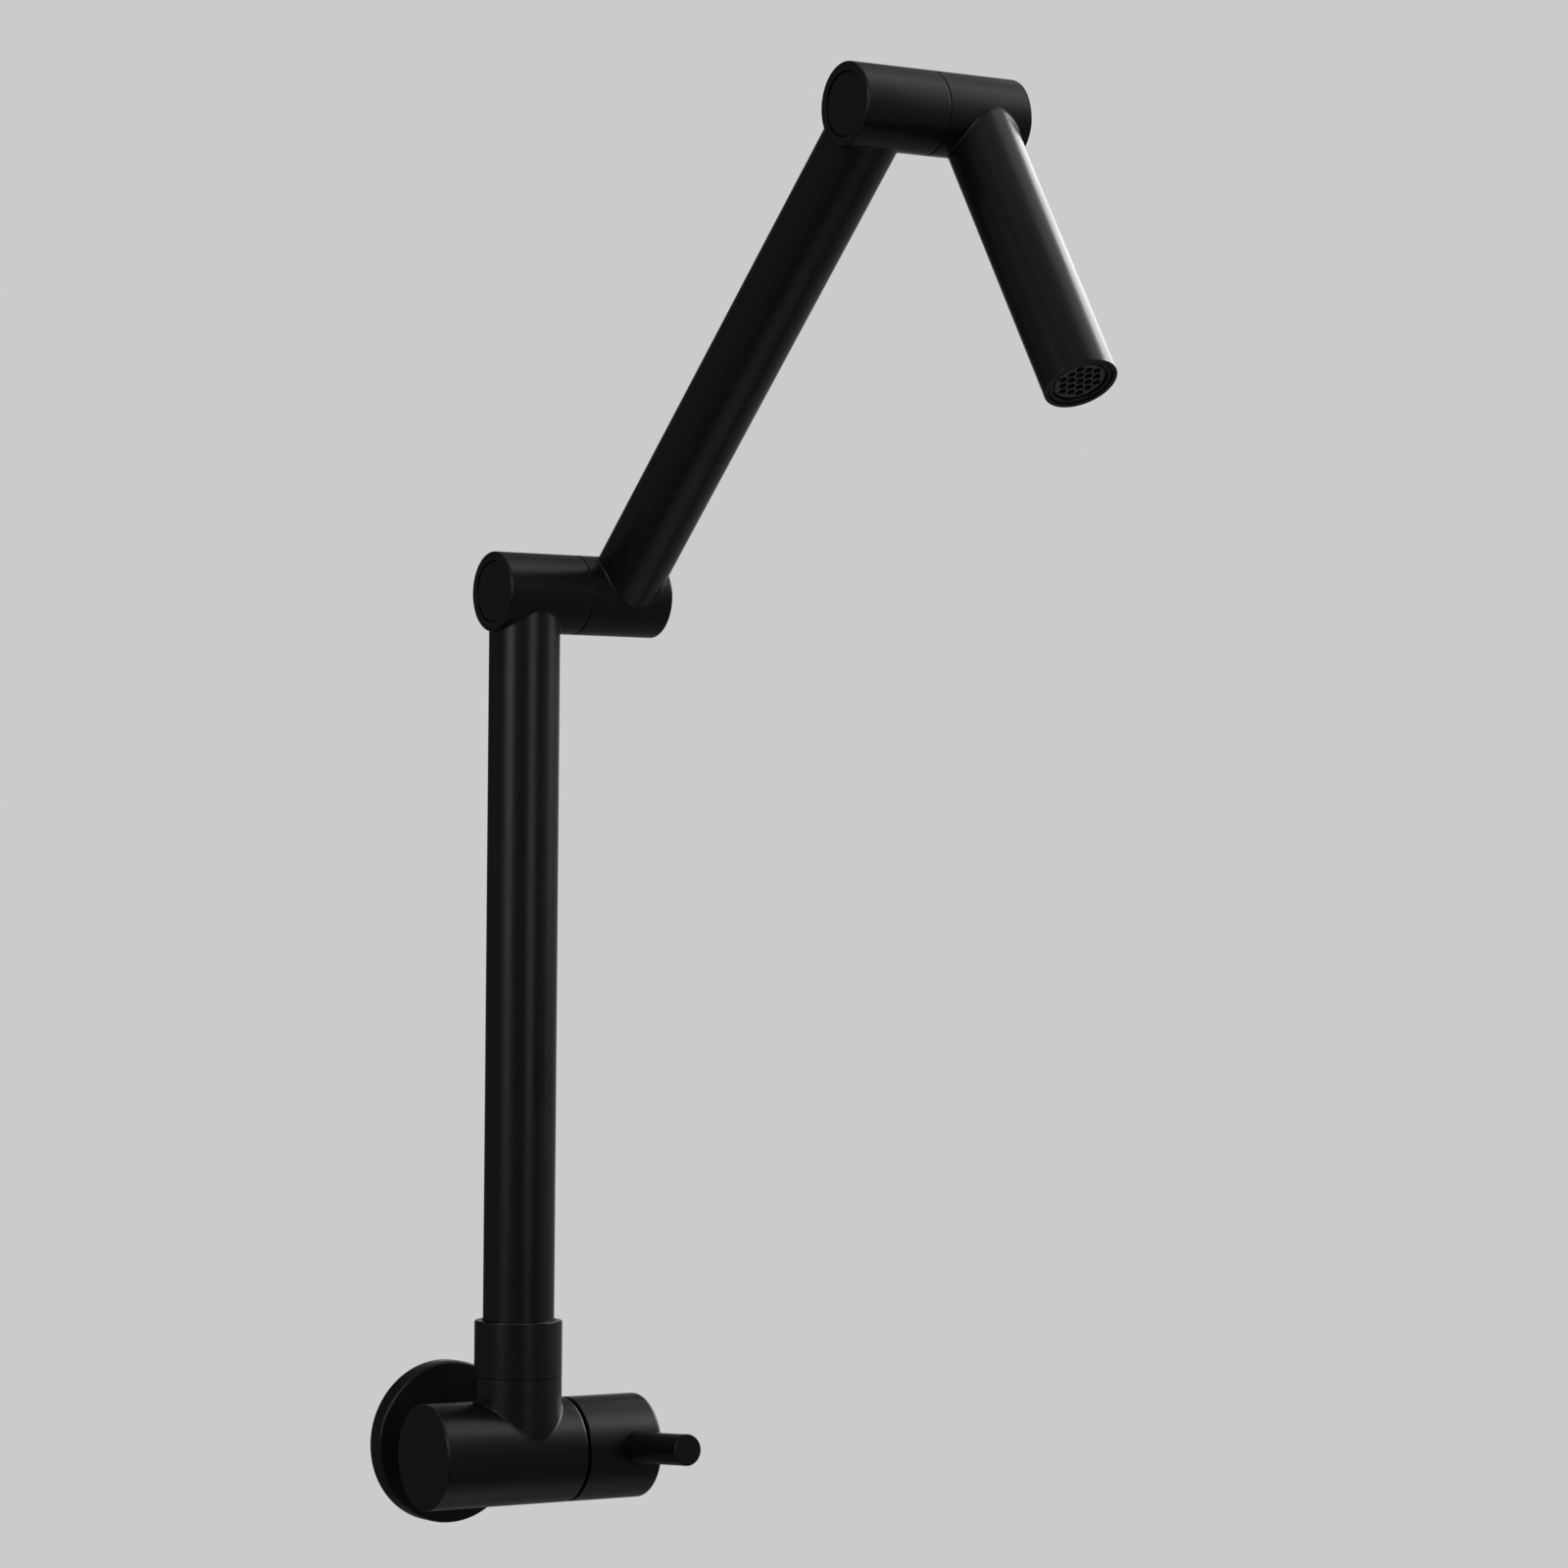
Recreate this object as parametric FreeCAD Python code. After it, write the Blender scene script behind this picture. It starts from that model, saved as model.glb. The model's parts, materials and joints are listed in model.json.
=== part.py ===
import FreeCAD, Part
import math
import os

# Wall-mounted kitchen tap with a folding arm, in millimetres.
# The origin is the centre of the wall flange, on the wall plane. X runs right along the wall, Y runs into
# the wall and Z up. The riser stands to the right of the inlet and a little in front of the valve body.
# The arm and the spout hang on two barrel elbows whose axes run along X.

V = FreeCAD.Vector
RIGHT = V(1, 0, 0)
INWARD = V(0, 1, 0)
UP = V(0, 0, 1)
DOWN = V(0, 0, -1)

# Layout: the riser, the arm and the spout, with their lean from upright towards the room in degrees.
body_from_wall = 46.3
riser_right = 3.5
riser_forward = 2.2
elbow_height = 301.5
arm_reach = 224.2
spout_reach = 112.0
riser_side_lean_angle = 180.0
arm_lean_angle = 46.8
spout_lean_angle = 146.7
lever_rise_angle = 4.0

# Clearances shared by every fit, and the overrun of every cut.
running_fit = 0.05
thread_fit = 0.02
face_gap = 0.05
free_gap = 0.3
overrun = 2.0

# Tubes of the riser, the arm and the spout.
tube_radius = 12.5
tube_wall = 1.5
tube_rim_chamfer = 0.4

# Barrel elbow: two halves that turn on each other about one axis. Places are measured from its left end.
barrel_radius = 14.1
barrel_half = 33.0
barrel_round = 0.8
left_tube_inset = 13.4
right_tube_inset = 14.65
seam_width = 0.5
seam_recess = 0.5
seam_chamfer = 0.2
barrel_end_wall = 4.0
cavity_radius = 8.4
cavity_port_radius = 7.5

# Seat of the end cap and the pocket of the lock nut behind it, in the barrel's left half.
cap_radius = 10.7
cap_thickness = 2.0
cap_recess = 0.4
cap_chamfer = 0.5
cap_play = 0.1
pocket_radius = 8.8
pocket_depth = 7.2
web_thickness = 2.0

# Water chamber round the spindle, with the slot that opens it to the tube.
chamber_shift = 7.4
chamber_width = 7.0
chamber_radius = 10.0
slot_width = 5.5
slot_span = 8.0

# Hollow spindle, screwed into the right half and clamped by a nut on its stud.
spindle_radius = 8.0
spindle_waist = 6.4
spindle_bore = 4.6
spindle_port_radius = 2.4
spindle_thread_radius = 9.0
spindle_thread_length = 8.2
socket_depth = 9.0
stud_radius = 4.0
stud_tail = 0.6
slide_washer_thickness = 0.8
spring_height = 1.0
spring_plate = 0.6
lock_nut_height = 4.2
lock_nut_flats = 13.0

# Seal rings: the wire of each and the play of its groove.
seal_wire = 2.0
small_seal_wire = 1.4
seal_play = 0.15
seal_sides = 6

# Valve body: a closed cylinder along X with the neck to the wall and the boss for the riser.
body_radius = 18.4
body_left_reach = 36.4
body_right_reach = 19.8
body_round = 0.6
body_bevel = 0.9
inlet_wall = 5.0
inlet_chamber_radius = 9.5
seat_depth = 23.3
seat_thickness = 3.0
seat_hole_radius = 6.0
gallery_width = 13.0
gallery_radius = 13.0
neck_radius = 12.5
neck_setback = 2.0
neck_socket_depth = 14.0
neck_bore_radius = 7.0
neck_bore_depth = 11.0
passage_radius = 4.8
passage_start_left = 3.0
passage_end_left = 16.0

# Boss on the body, the collar that screws over it and the swivel inside.
boss_radius = 15.4
boss_height = 26.7
boss_thread_radius = 13.6
boss_thread_length = 7.3
boss_floor = 14.5
outlet_port_radius = 4.8
outlet_port_shift = 3.2
collar_height = 19.8
collar_lip = 5.0
collar_bore_play = 0.4
collar_chamfer = 0.6
spigot_radius = 9.5
spigot_bore = 6.5
spigot_floor_gap = 1.0
spigot_seal_shares = (0.25, 0.55)
spigot_flange_radius = 13.2
spigot_flange_thickness = 3.0
spigot_plug_length = 13.0
thrust_washer_thickness = 0.7
guide_ring_radius = 13.6

# Flange on the wall: a shallow cup round the neck, with its gasket and the ring that grips the neck.
flange_radius = 28.8
flange_depth = 7.4
flange_wall = 1.8
flange_round = 1.0
neck_play = 0.15
gasket_width = 3.0
grip_wire = 2.2

# Inlet nipple with a G 1/2 thread at each end, a groove between them and a hex bore for the key.
nipple_radius = 10.48
nipple_wall_thread = 16.0
nipple_wall_overlap = 1.0
nipple_groove_radius = 9.6
nipple_key_flats = 12.0
nipple_mouth_radius = 8.0
nipple_mouth_depth = 2.0
inlet_washer_thickness = 1.0
strainer_thickness = 1.2
strainer_hole_radius = 0.9
strainer_ring_radius = 4.6
strainer_hole_count = 8

# Quarter-turn headwork. Places are measured from the seat, towards the hub.
nose_radius = 10.5
nose_bore_radius = 9.2
seat_seal_radius = 9.0
seat_seal_hole = 6.5
seat_seal_thickness = 2.0
fixed_disc_thickness = 2.6
fixed_disc_radius = 9.1
turning_disc_thickness = 2.5
turning_disc_radius = 8.9
disc_port_inner = 2.0
disc_port_outer = 7.4
disc_port_angle = 80.0
tenon_width = 3.0
tenon_depth = 1.4
tenon_length = 9.0
stem_flange_radius = 8.8
stem_flange_thickness = 3.0
stem_washer_thickness = 0.8
stem_radius = 5.0
housing_thread_radius = 11.5
housing_flange_radius = 13.2
housing_flange_thickness = 1.5
housing_hex_flats = 22.0
housing_hex_height = 3.4
housing_seal_wire = 1.6
housing_seal_seat = 12.4
window_width = 11.0
window_end_margin = 0.6
stem_seal_shares = (0.3, 0.62)
clip_radius = 6.8
clip_groove_radius = 4.2
clip_thickness = 0.9
clip_opening = 3.0
spline_radius = 4.0
spline_tooth = 0.5
spline_count = 20
spline_length = 9.0
spline_play = 0.08

# Hub with its lever pin and grub screw. Places are measured from the hub's left face.
hub_gap = 1.0
hub_length = 29.2
hub_round = 1.2
hub_bevel = 0.4
hub_cavity_radius = 14.6
hub_cavity_depth = 6.9
lever_from_end = 10.3
lever_radius = 5.5
lever_reach = 51.7
lever_seat_depth = 1.6
lever_chamfer = 0.7
lever_stud_radius = 3.0
lever_stud_length = 6.0
grub_from_left = 11.4
grub_radius = 2.5
grub_length = 6.0
grub_key_flats = 2.5
grub_key_depth = 2.5

# Aerator in the spout's mouth. Places are measured back from the spout's tip.
sleeve_setback = 1.6
sleeve_length = 14.4
sleeve_wall = 1.0
sleeve_shoulder = 2.0
sleeve_shoulder_radius = 8.5
aerator_setback = 0.4
aerator_wall = 1.4
aerator_lip = 1.0
aerator_chamfer = 0.3
aerator_washer_thickness = 1.4
head_play = 0.25
head_wall = 1.3
head_recess_depth = 1.2
insert_setback = 0.9
insert_thickness = 8.0
insert_cell_flats = 2.6
insert_cell_rib = 0.7
insert_rings = 2

# Places that follow from the sizes above.
riser_y = -body_from_wall - riser_forward
riser_foot = V(riser_right, riser_y, 0)
body_axis = V(0, -body_from_wall, 0)
elbow_axis = V(riser_right, riser_y, elbow_height)
tube_spacing = 2 * barrel_half - left_tube_inset - right_tube_inset
tube_bore = tube_radius - tube_wall
body_left_x = riser_right - body_left_reach
body_right_x = riser_right + body_right_reach
seat_x = body_right_x - seat_depth
hub_x = body_right_x + hub_gap
boss_top = boss_height + boss_thread_length
neck_end_y = -neck_setback
nipple_start_y = neck_end_y - neck_socket_depth + inlet_washer_thickness
thrust_top = boss_top + thrust_washer_thickness
spigot_flange_z = thrust_top + face_gap
riser_bottom_z = spigot_flange_z + spigot_flange_thickness
spigot_bottom_z = boss_floor + spigot_floor_gap


def lean_direction(lean):
    """Unit vector that leans from upright towards the room by this many degrees."""
    angle = math.radians(lean)
    return V(0, -math.sin(angle), math.cos(angle))


top_axis = elbow_axis + V(tube_spacing, 0, 0) + lean_direction(arm_lean_angle) * arm_reach


def outline(corners):
    """Closed wire through (along, across) corners; a third number is the corner's rounding radius."""
    points = [V(corner[0], corner[1], 0) for corner in corners]
    spans = []
    edges = []
    for index, corner in enumerate(corners):
        here = points[index]
        if len(corner) < 3:
            spans.append((here, here))
            continue
        back = (points[index - 1] - here).normalize()
        ahead = (points[(index + 1) % len(points)] - here).normalize()
        half_angle = back.getAngle(ahead) / 2
        cut = corner[2] / math.tan(half_angle)
        middle = (back + ahead).normalize() * (corner[2] / math.sin(half_angle) - corner[2])
        spans.append((here + back * cut, here + ahead * cut))
        edges.append(Part.Arc(spans[-1][0], here + middle, spans[-1][1]).toShape())
    for index, span in enumerate(spans):
        start = span[1]
        stop = spans[(index + 1) % len(spans)][0]
        edges.append(Part.LineSegment(start, stop).toShape())
    return Part.Wire(Part.__sortEdges__(edges))


def turned(corners):
    """Solid turned about the X axis from (along, radius) corners."""
    solid = Part.Face(outline(corners)).revolve(V(), RIGHT, 360)
    if solid.Volume < 0:
        solid.reverse()
    return solid


def ring(start, stop, inner, outer):
    """Flat ring about the X axis."""
    return turned([(start, inner), (stop, inner), (stop, outer), (start, outer)])


def rod(start, stop, radius):
    """Plain rod about the X axis."""
    return Part.makeCylinder(radius, stop - start, V(start, 0, 0), RIGHT)


def aimed(solid, towards, at):
    """Moves a solid made about the X axis so that it points another way from another place."""
    moved = solid.copy()
    moved.Placement = FreeCAD.Placement(at, FreeCAD.Rotation(RIGHT, towards))
    return moved


def leant(solid, lean, at):
    """Turns a solid about the X axis by a lean, then moves it."""
    moved = solid.copy()
    moved.Placement = FreeCAD.Placement(at, FreeCAD.Rotation(RIGHT, lean))
    return moved


def prism(sides, flats, start, stop):
    """Prism about the X axis with this many flat sides, measured across the flats."""
    corner_radius = flats / (2 * math.cos(math.pi / sides))
    corners = []
    for index in range(sides + 1):
        angle = 2 * math.pi * index / sides
        corners.append(V(start, corner_radius * math.cos(angle), corner_radius * math.sin(angle)))
    return Part.Face(Part.makePolygon(corners)).extrude(V(stop - start, 0, 0))


def seal_width(wire):
    """Width of a seal ring's wire along the axis, corner to corner."""
    return wire / math.cos(math.pi / seal_sides)


def seal_ring(middle, seat_radius, wire):
    """Ring of rubber wire about the X axis, whose inside lies on the seat radius."""
    mean = seat_radius + wire / 2
    corner = seal_width(wire) / 2
    corners = []
    for index in range(seal_sides):
        angle = 2 * math.pi * index / seal_sides
        corners.append((middle + corner * math.cos(angle), mean + corner * math.sin(angle)))
    return turned(corners)


def seal_groove(middle, radius, wire):
    """Corners of the groove that holds a seal ring of this wire below an outer radius."""
    half = seal_width(wire) / 2 + seal_play
    floor = radius - wire
    return [(middle - half, radius), (middle - half, floor), (middle + half, floor), (middle + half, radius)]


def splined(start, stop, root_radius, tooth):
    """Toothed rod about the X axis."""
    corners = []
    for index in range(2 * spline_count):
        angle = math.pi * index / spline_count
        radius = root_radius + tooth * (index % 2)
        corners.append(V(start, radius * math.cos(angle), radius * math.sin(angle)))
    corners.append(corners[0])
    return Part.Face(Part.makePolygon(corners)).extrude(V(stop - start, 0, 0))


def pie(start, stop, radius, angle, turn):
    """Slice of a disc about the X axis, centred on this turn from the Y axis."""
    slice_solid = Part.makeCylinder(radius, stop - start, V(), UP, angle)
    slice_solid.rotate(V(), UP, -angle / 2)
    slice_solid.rotate(V(), INWARD, 90)
    slice_solid.rotate(V(), RIGHT, turn)
    slice_solid.translate(V(start, 0, 0))
    return slice_solid


# Barrel elbow, made along X from its left end. Each half's tube leaves along +Z before the half is leant.
seam = barrel_half
left_face = seam - seam_width / 2
right_face = seam + seam_width / 2
cap_seat = cap_recess + cap_thickness
pocket_floor = cap_seat + pocket_depth
web_end = pocket_floor + web_thickness
chamber_middle = left_tube_inset + chamber_shift
chamber_start = chamber_middle - chamber_width / 2
chamber_end = chamber_middle + chamber_width / 2
right_tube_place = 2 * barrel_half - right_tube_inset
land_start = web_end + free_gap
socket_end = right_face + socket_depth
thread_end = right_face + spindle_thread_length
spring_end = pocket_floor - slide_washer_thickness - face_gap
nut_end = spring_end - spring_height
stud_start = nut_end - lock_nut_height - stud_tail
stud_hole_radius = stud_radius + free_gap
bearing_radius = spindle_radius + running_fit


def barrel_left():
    """Left half: cap seat, nut pocket, bearing bore and the chamber that opens to its tube."""
    solid = turned([
        (0, cap_radius + cap_play),
        (0, barrel_radius, barrel_round),
        (left_face - seam_chamfer, barrel_radius),
        (left_face, barrel_radius - seam_chamfer),
        (left_face, bearing_radius),
        (chamber_end, bearing_radius),
        (chamber_end, chamber_radius),
        (chamber_start, chamber_radius),
        (chamber_start, bearing_radius),
        (web_end, bearing_radius),
        (web_end, stud_hole_radius),
        (pocket_floor, stud_hole_radius),
        (pocket_floor, pocket_radius),
        (cap_seat, pocket_radius),
        (cap_seat, cap_radius + cap_play),
    ])
    slot = Part.makeBox(slot_width, slot_span, barrel_radius + overrun - bearing_radius)
    slot.translate(V(chamber_middle - slot_width / 2, -slot_span / 2, bearing_radius))
    return solid.cut(slot)


def barrel_right():
    """Right half: plain closed end, thread for the spindle and the port to its tube."""
    end = 2 * barrel_half
    solid = turned([
        (right_face, spindle_thread_radius + thread_fit),
        (socket_end, spindle_thread_radius + thread_fit),
        (socket_end, cavity_radius),
        (end - barrel_end_wall, cavity_radius),
        (end - barrel_end_wall, 0),
        (end, 0),
        (end, barrel_radius, barrel_round),
        (right_face + seam_chamfer, barrel_radius),
        (right_face, barrel_radius - seam_chamfer),
    ])
    port = Part.makeCylinder(cavity_port_radius, barrel_radius + overrun, V(right_tube_place, 0, 0), UP)
    return solid.cut(port)


def end_cap():
    """Plain disc that screws into the barrel's left end, just below the rim."""
    return turned([
        (cap_recess, 0),
        (cap_seat, 0),
        (cap_seat, cap_radius),
        (cap_recess + cap_chamfer, cap_radius),
        (cap_recess, cap_radius - cap_chamfer),
    ])


left_seal = (land_start + chamber_start) / 2
right_seal = (chamber_end + left_face) / 2


def spindle():
    """Hollow pivot: stud, two sealed lands, the ported waist between them and the thread."""
    corners = [(stud_start, 0), (stud_start, stud_radius), (land_start, stud_radius)]
    corners += [(land_start, spindle_radius)] + seal_groove(left_seal, spindle_radius, seal_wire)
    corners += [(chamber_start, spindle_radius), (chamber_start, spindle_waist)]
    corners += [(chamber_end, spindle_waist), (chamber_end, spindle_radius)]
    corners += seal_groove(right_seal, spindle_radius, seal_wire)
    corners += [(right_face, spindle_radius), (right_face, spindle_thread_radius)]
    corners += [(thread_end, spindle_thread_radius), (thread_end, spindle_bore)]
    corners += [(chamber_start, spindle_bore), (chamber_start, 0)]
    solid = turned(corners)
    for axis in (INWARD, UP):
        start = V(chamber_middle, 0, 0) - axis * spindle_radius
        solid = solid.cut(Part.makeCylinder(spindle_port_radius, 2 * spindle_radius, start, axis))
    return solid


def spindle_seals():
    """The two rings in the spindle's grooves."""
    floor = spindle_radius - seal_wire
    return Part.makeCompound([seal_ring(place, floor, seal_wire) for place in (left_seal, right_seal)])


def seam_washer():
    """Slip washer between the two halves, set back from their surface."""
    return ring(left_face, right_face - face_gap, spindle_radius + free_gap, barrel_radius - seam_recess)


def slide_washer():
    """Washer on the pocket's floor, under the spring."""
    inner = stud_hole_radius
    return ring(pocket_floor - slide_washer_thickness, pocket_floor, inner, pocket_radius - free_gap)


def disc_spring():
    """Conical spring washer that keeps the elbow stiff enough to hold its pose."""
    inner = stud_radius + running_fit
    outer = lock_nut_flats / 2 + spring_plate
    rise = spring_height - spring_plate
    return turned([
        (nut_end, inner),
        (nut_end + spring_plate, inner),
        (nut_end + spring_plate + rise, outer),
        (nut_end + rise, outer),
    ])


def lock_nut():
    """Hexagon nut on the stud."""
    nut = prism(6, lock_nut_flats, nut_end - lock_nut_height, nut_end)
    return nut.cut(rod(nut_end - lock_nut_height - overrun, nut_end + overrun, stud_radius + thread_fit))


def barrel_parts(left_lean, right_lean, tube_axis_left):
    """All pieces of one barrel elbow, leant and moved to its left tube's axis."""
    at = tube_axis_left - V(left_tube_inset, 0, 0)
    return {
        "left": leant(barrel_left(), left_lean, at),
        "right": leant(barrel_right(), right_lean, at),
        "cap": leant(end_cap(), left_lean, at),
        "spindle": leant(spindle(), right_lean, at),
        "seals": leant(spindle_seals(), right_lean, at),
        "seam": leant(seam_washer(), left_lean, at),
        "slide": leant(slide_washer(), left_lean, at),
        "spring": leant(disc_spring(), right_lean, at),
        "nut": leant(lock_nut(), right_lean, at),
    }


# Tubes, made along Z from a barrel's axis.
def saddle_cutter(height):
    """Barrel that a tube's end is shaped to."""
    length = 2 * tube_radius + 2 * overrun
    return Part.makeCylinder(barrel_radius, length, V(-length / 2, 0, height), RIGHT)


def pipe(start, stop):
    """Plain tube along Z."""
    outer = Part.makeCylinder(tube_radius, stop - start, V(0, 0, start))
    return outer.cut(Part.makeCylinder(tube_bore, stop - start + 2 * overrun, V(0, 0, start - overrun)))


def riser_tube():
    """Upright tube from the spigot's flange to the elbow, saddled at its top."""
    tube = pipe(riser_bottom_z, elbow_height).cut(saddle_cutter(elbow_height))
    tube.translate(riser_foot)
    return tube


def arm_tube():
    """Tube between the two barrels, saddled at both ends."""
    tube = pipe(0, arm_reach).cut(saddle_cutter(0)).cut(saddle_cutter(arm_reach))
    return leant(tube, arm_lean_angle, elbow_axis + V(tube_spacing, 0, 0))


def spout_tube():
    """Short tube from the top barrel to the mouth, with a chamfered rim."""
    tube = pipe(0, spout_reach).cut(saddle_cutter(0))
    rim = turned([
        (spout_reach - tube_rim_chamfer, tube_radius),
        (spout_reach + overrun, tube_radius - tube_rim_chamfer - overrun),
        (spout_reach + overrun, tube_radius + overrun),
        (spout_reach - tube_rim_chamfer, tube_radius + overrun),
    ])
    tube = tube.cut(aimed(rim, UP, V()))
    return leant(tube, spout_lean_angle, top_axis + V(tube_spacing, 0, 0))


# Aerator, made along X from the top barrel's axis to the mouth.
sleeve_end = spout_reach - sleeve_setback
sleeve_start = sleeve_end - sleeve_length
sleeve_bore = tube_bore - sleeve_wall
shoulder_end = sleeve_start + sleeve_shoulder
aerator_end = spout_reach - aerator_setback
aerator_start = shoulder_end + aerator_washer_thickness
aerator_radius = sleeve_bore - thread_fit
head_radius = tube_bore - head_play
head_bore = head_radius - head_wall
head_start = sleeve_end + face_gap
recess_floor = aerator_end - head_recess_depth
insert_radius = aerator_radius - aerator_wall - running_fit
insert_end = spout_reach - insert_setback
insert_start = insert_end - insert_thickness


def spout_sleeve():
    """Threaded sleeve brazed into the mouth, with the shoulder that the washer seals on."""
    return turned([
        (sleeve_start, sleeve_shoulder_radius),
        (shoulder_end, sleeve_shoulder_radius),
        (shoulder_end, sleeve_bore),
        (sleeve_end, sleeve_bore),
        (sleeve_end, tube_bore),
        (sleeve_start, tube_bore),
    ])


def aerator_washer():
    """Rubber washer between the sleeve's shoulder and the aerator."""
    return ring(shoulder_end, aerator_start, sleeve_shoulder_radius, aerator_radius)


def aerator_housing():
    """Ring that screws into the sleeve: a bevelled head in front, and a lip that holds the insert."""
    inner = aerator_radius - aerator_wall
    return turned([
        (aerator_start, inner - aerator_lip),
        (insert_start - face_gap, inner - aerator_lip),
        (insert_start - face_gap, inner),
        (recess_floor, inner),
        (recess_floor, head_bore),
        (aerator_end - aerator_chamfer, head_bore),
        (aerator_end, head_bore + aerator_chamfer),
        (aerator_end, head_radius - aerator_chamfer),
        (aerator_end - aerator_chamfer, head_radius),
        (head_start, head_radius),
        (head_start, aerator_radius),
        (aerator_start, aerator_radius),
    ])


def aerator_insert():
    """Honeycomb that straightens the stream."""
    solid = rod(insert_start, insert_end, insert_radius)
    pitch = insert_cell_flats + insert_cell_rib
    cell = prism(6, insert_cell_flats, insert_start - overrun, insert_end + overrun)
    for row in range(-insert_rings, insert_rings + 1):
        for column in range(-insert_rings, insert_rings + 1):
            if abs(row + column) > insert_rings:
                continue
            hole = cell.copy()
            side = pitch * (column + row / 2)
            rise = pitch * row * math.sqrt(3) / 2
            hole.translate(V(0, rise, side))
            solid = solid.cut(hole)
    return solid


def mouth_part(solid):
    """Moves an aerator piece from the X axis into the leaning spout."""
    return aimed(solid, lean_direction(spout_lean_angle), top_axis + V(tube_spacing, 0, 0))


# Riser swivel, made along X and stood upright on the riser's axis.
def upright(solid):
    """Stands a solid made about the X axis on the riser's axis."""
    return aimed(solid, UP, riser_foot)


spigot_length = thrust_top - spigot_bottom_z
spigot_seal_places = [spigot_bottom_z + share * spigot_length for share in spigot_seal_shares]
guide_ring_start = riser_bottom_z + face_gap
collar_top = boss_height + collar_height
collar_shoulder = collar_top - collar_lip


def riser_spigot():
    """Hollow plug of the riser: sealed shank, flange on the thrust washer and neck inside the tube."""
    corners = [(spigot_bottom_z, spigot_bore), (spigot_bottom_z, spigot_radius)]
    for place in spigot_seal_places:
        corners += seal_groove(place, spigot_radius, seal_wire)
    corners += [(spigot_flange_z, spigot_radius), (spigot_flange_z, spigot_flange_radius)]
    corners += [(riser_bottom_z, spigot_flange_radius), (riser_bottom_z, tube_bore)]
    plug_end = riser_bottom_z + spigot_plug_length
    corners += [(plug_end, tube_bore), (plug_end, spigot_bore)]
    return upright(turned(corners))


def spigot_seals():
    """The two rings in the spigot's grooves."""
    floor = spigot_radius - seal_wire
    rings = [seal_ring(place, floor, seal_wire) for place in spigot_seal_places]
    return upright(Part.makeCompound(rings))


def riser_thrust_washer():
    """Slip washer that the spigot's flange turns on."""
    return upright(ring(boss_top, thrust_top, spigot_radius + free_gap, spigot_flange_radius))


def riser_guide_ring():
    """Ring under the collar's lip that guides the tube and holds the flange down."""
    return upright(ring(guide_ring_start, collar_shoulder, tube_radius + running_fit, guide_ring_radius))


def riser_collar():
    """Sleeve that screws over the boss and traps the riser."""
    bore = guide_ring_radius + running_fit
    return upright(turned([
        (boss_height, bore),
        (collar_shoulder, bore),
        (collar_shoulder, tube_radius + collar_bore_play),
        (collar_top, tube_radius + collar_bore_play),
        (collar_top, boss_radius - collar_chamfer),
        (collar_top - collar_chamfer, boss_radius),
        (boss_height, boss_radius),
    ]))


# Valve body and the pieces at the wall.
housing_seal_middle = seat_depth - seal_width(housing_seal_wire) / 2 - face_gap


def on_body_axis(solid, at_x):
    """Moves a solid made about the X axis onto the valve body's axis."""
    moved = solid.copy()
    moved.translate(body_axis + V(at_x, 0, 0))
    return moved


def inlet_passage():
    """Slanting passage from the neck's bore to the chamber left of the seat."""
    start = V(-passage_start_left, neck_end_y - neck_socket_depth - neck_bore_depth, 0)
    stop = V(-passage_end_left, -body_from_wall, 0)
    span = stop - start
    return Part.makeCylinder(passage_radius, span.Length, start, span)


def valve_body():
    """Body with inlet chamber, seat, gallery, thread for the headwork, neck and riser boss."""
    length = body_right_x - body_left_x
    shell = turned([
        (0, 0),
        (0, body_radius, body_round),
        (length - body_bevel, body_radius),
        (length, body_radius - body_bevel),
        (length, 0),
    ])
    solid = on_body_axis(shell, body_left_x)
    neck = Part.makeCylinder(neck_radius, body_from_wall - neck_setback, body_axis, INWARD)
    boss = Part.makeCylinder(boss_radius, boss_height, riser_foot, UP)
    thread_foot = riser_foot + V(0, 0, boss_floor)
    thread = Part.makeCylinder(boss_thread_radius, boss_top - boss_floor, thread_foot, UP)
    solid = solid.fuse([neck, boss, thread]).removeSplitter()

    chamber_length = seat_x - seat_thickness - body_left_x - inlet_wall
    seal_floor = housing_seal_middle - seal_width(housing_seal_wire) / 2 - face_gap
    seal_seat = housing_seal_seat + housing_seal_wire / 2 + seal_play
    hollows = [
        on_body_axis(rod(0, chamber_length, inlet_chamber_radius), body_left_x + inlet_wall),
        on_body_axis(rod(-seat_thickness - overrun, overrun, seat_hole_radius), seat_x),
        on_body_axis(rod(0, gallery_width, gallery_radius), seat_x),
        on_body_axis(rod(0, seat_depth + overrun, housing_thread_radius), seat_x),
        on_body_axis(rod(seal_floor, seat_depth + overrun, seal_seat), seat_x),
    ]
    socket_y = neck_end_y - neck_socket_depth
    socket = nipple_radius + thread_fit
    hollows.append(Part.makeCylinder(socket, neck_socket_depth + overrun, V(0, socket_y, 0), INWARD))
    bore_y = socket_y - neck_bore_depth
    hollows.append(Part.makeCylinder(neck_bore_radius, neck_bore_depth + overrun, V(0, bore_y, 0), INWARD))
    hollows.append(inlet_passage())
    port_foot = V(riser_right + outlet_port_shift, riser_y, 0)
    hollows.append(Part.makeCylinder(outlet_port_radius, boss_top, port_foot, UP))
    bore_foot = riser_foot + V(0, 0, boss_floor)
    hollows.append(Part.makeCylinder(spigot_radius + running_fit, boss_top, bore_foot, UP))
    for hollow in hollows:
        solid = solid.cut(hollow)
    return solid


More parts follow.
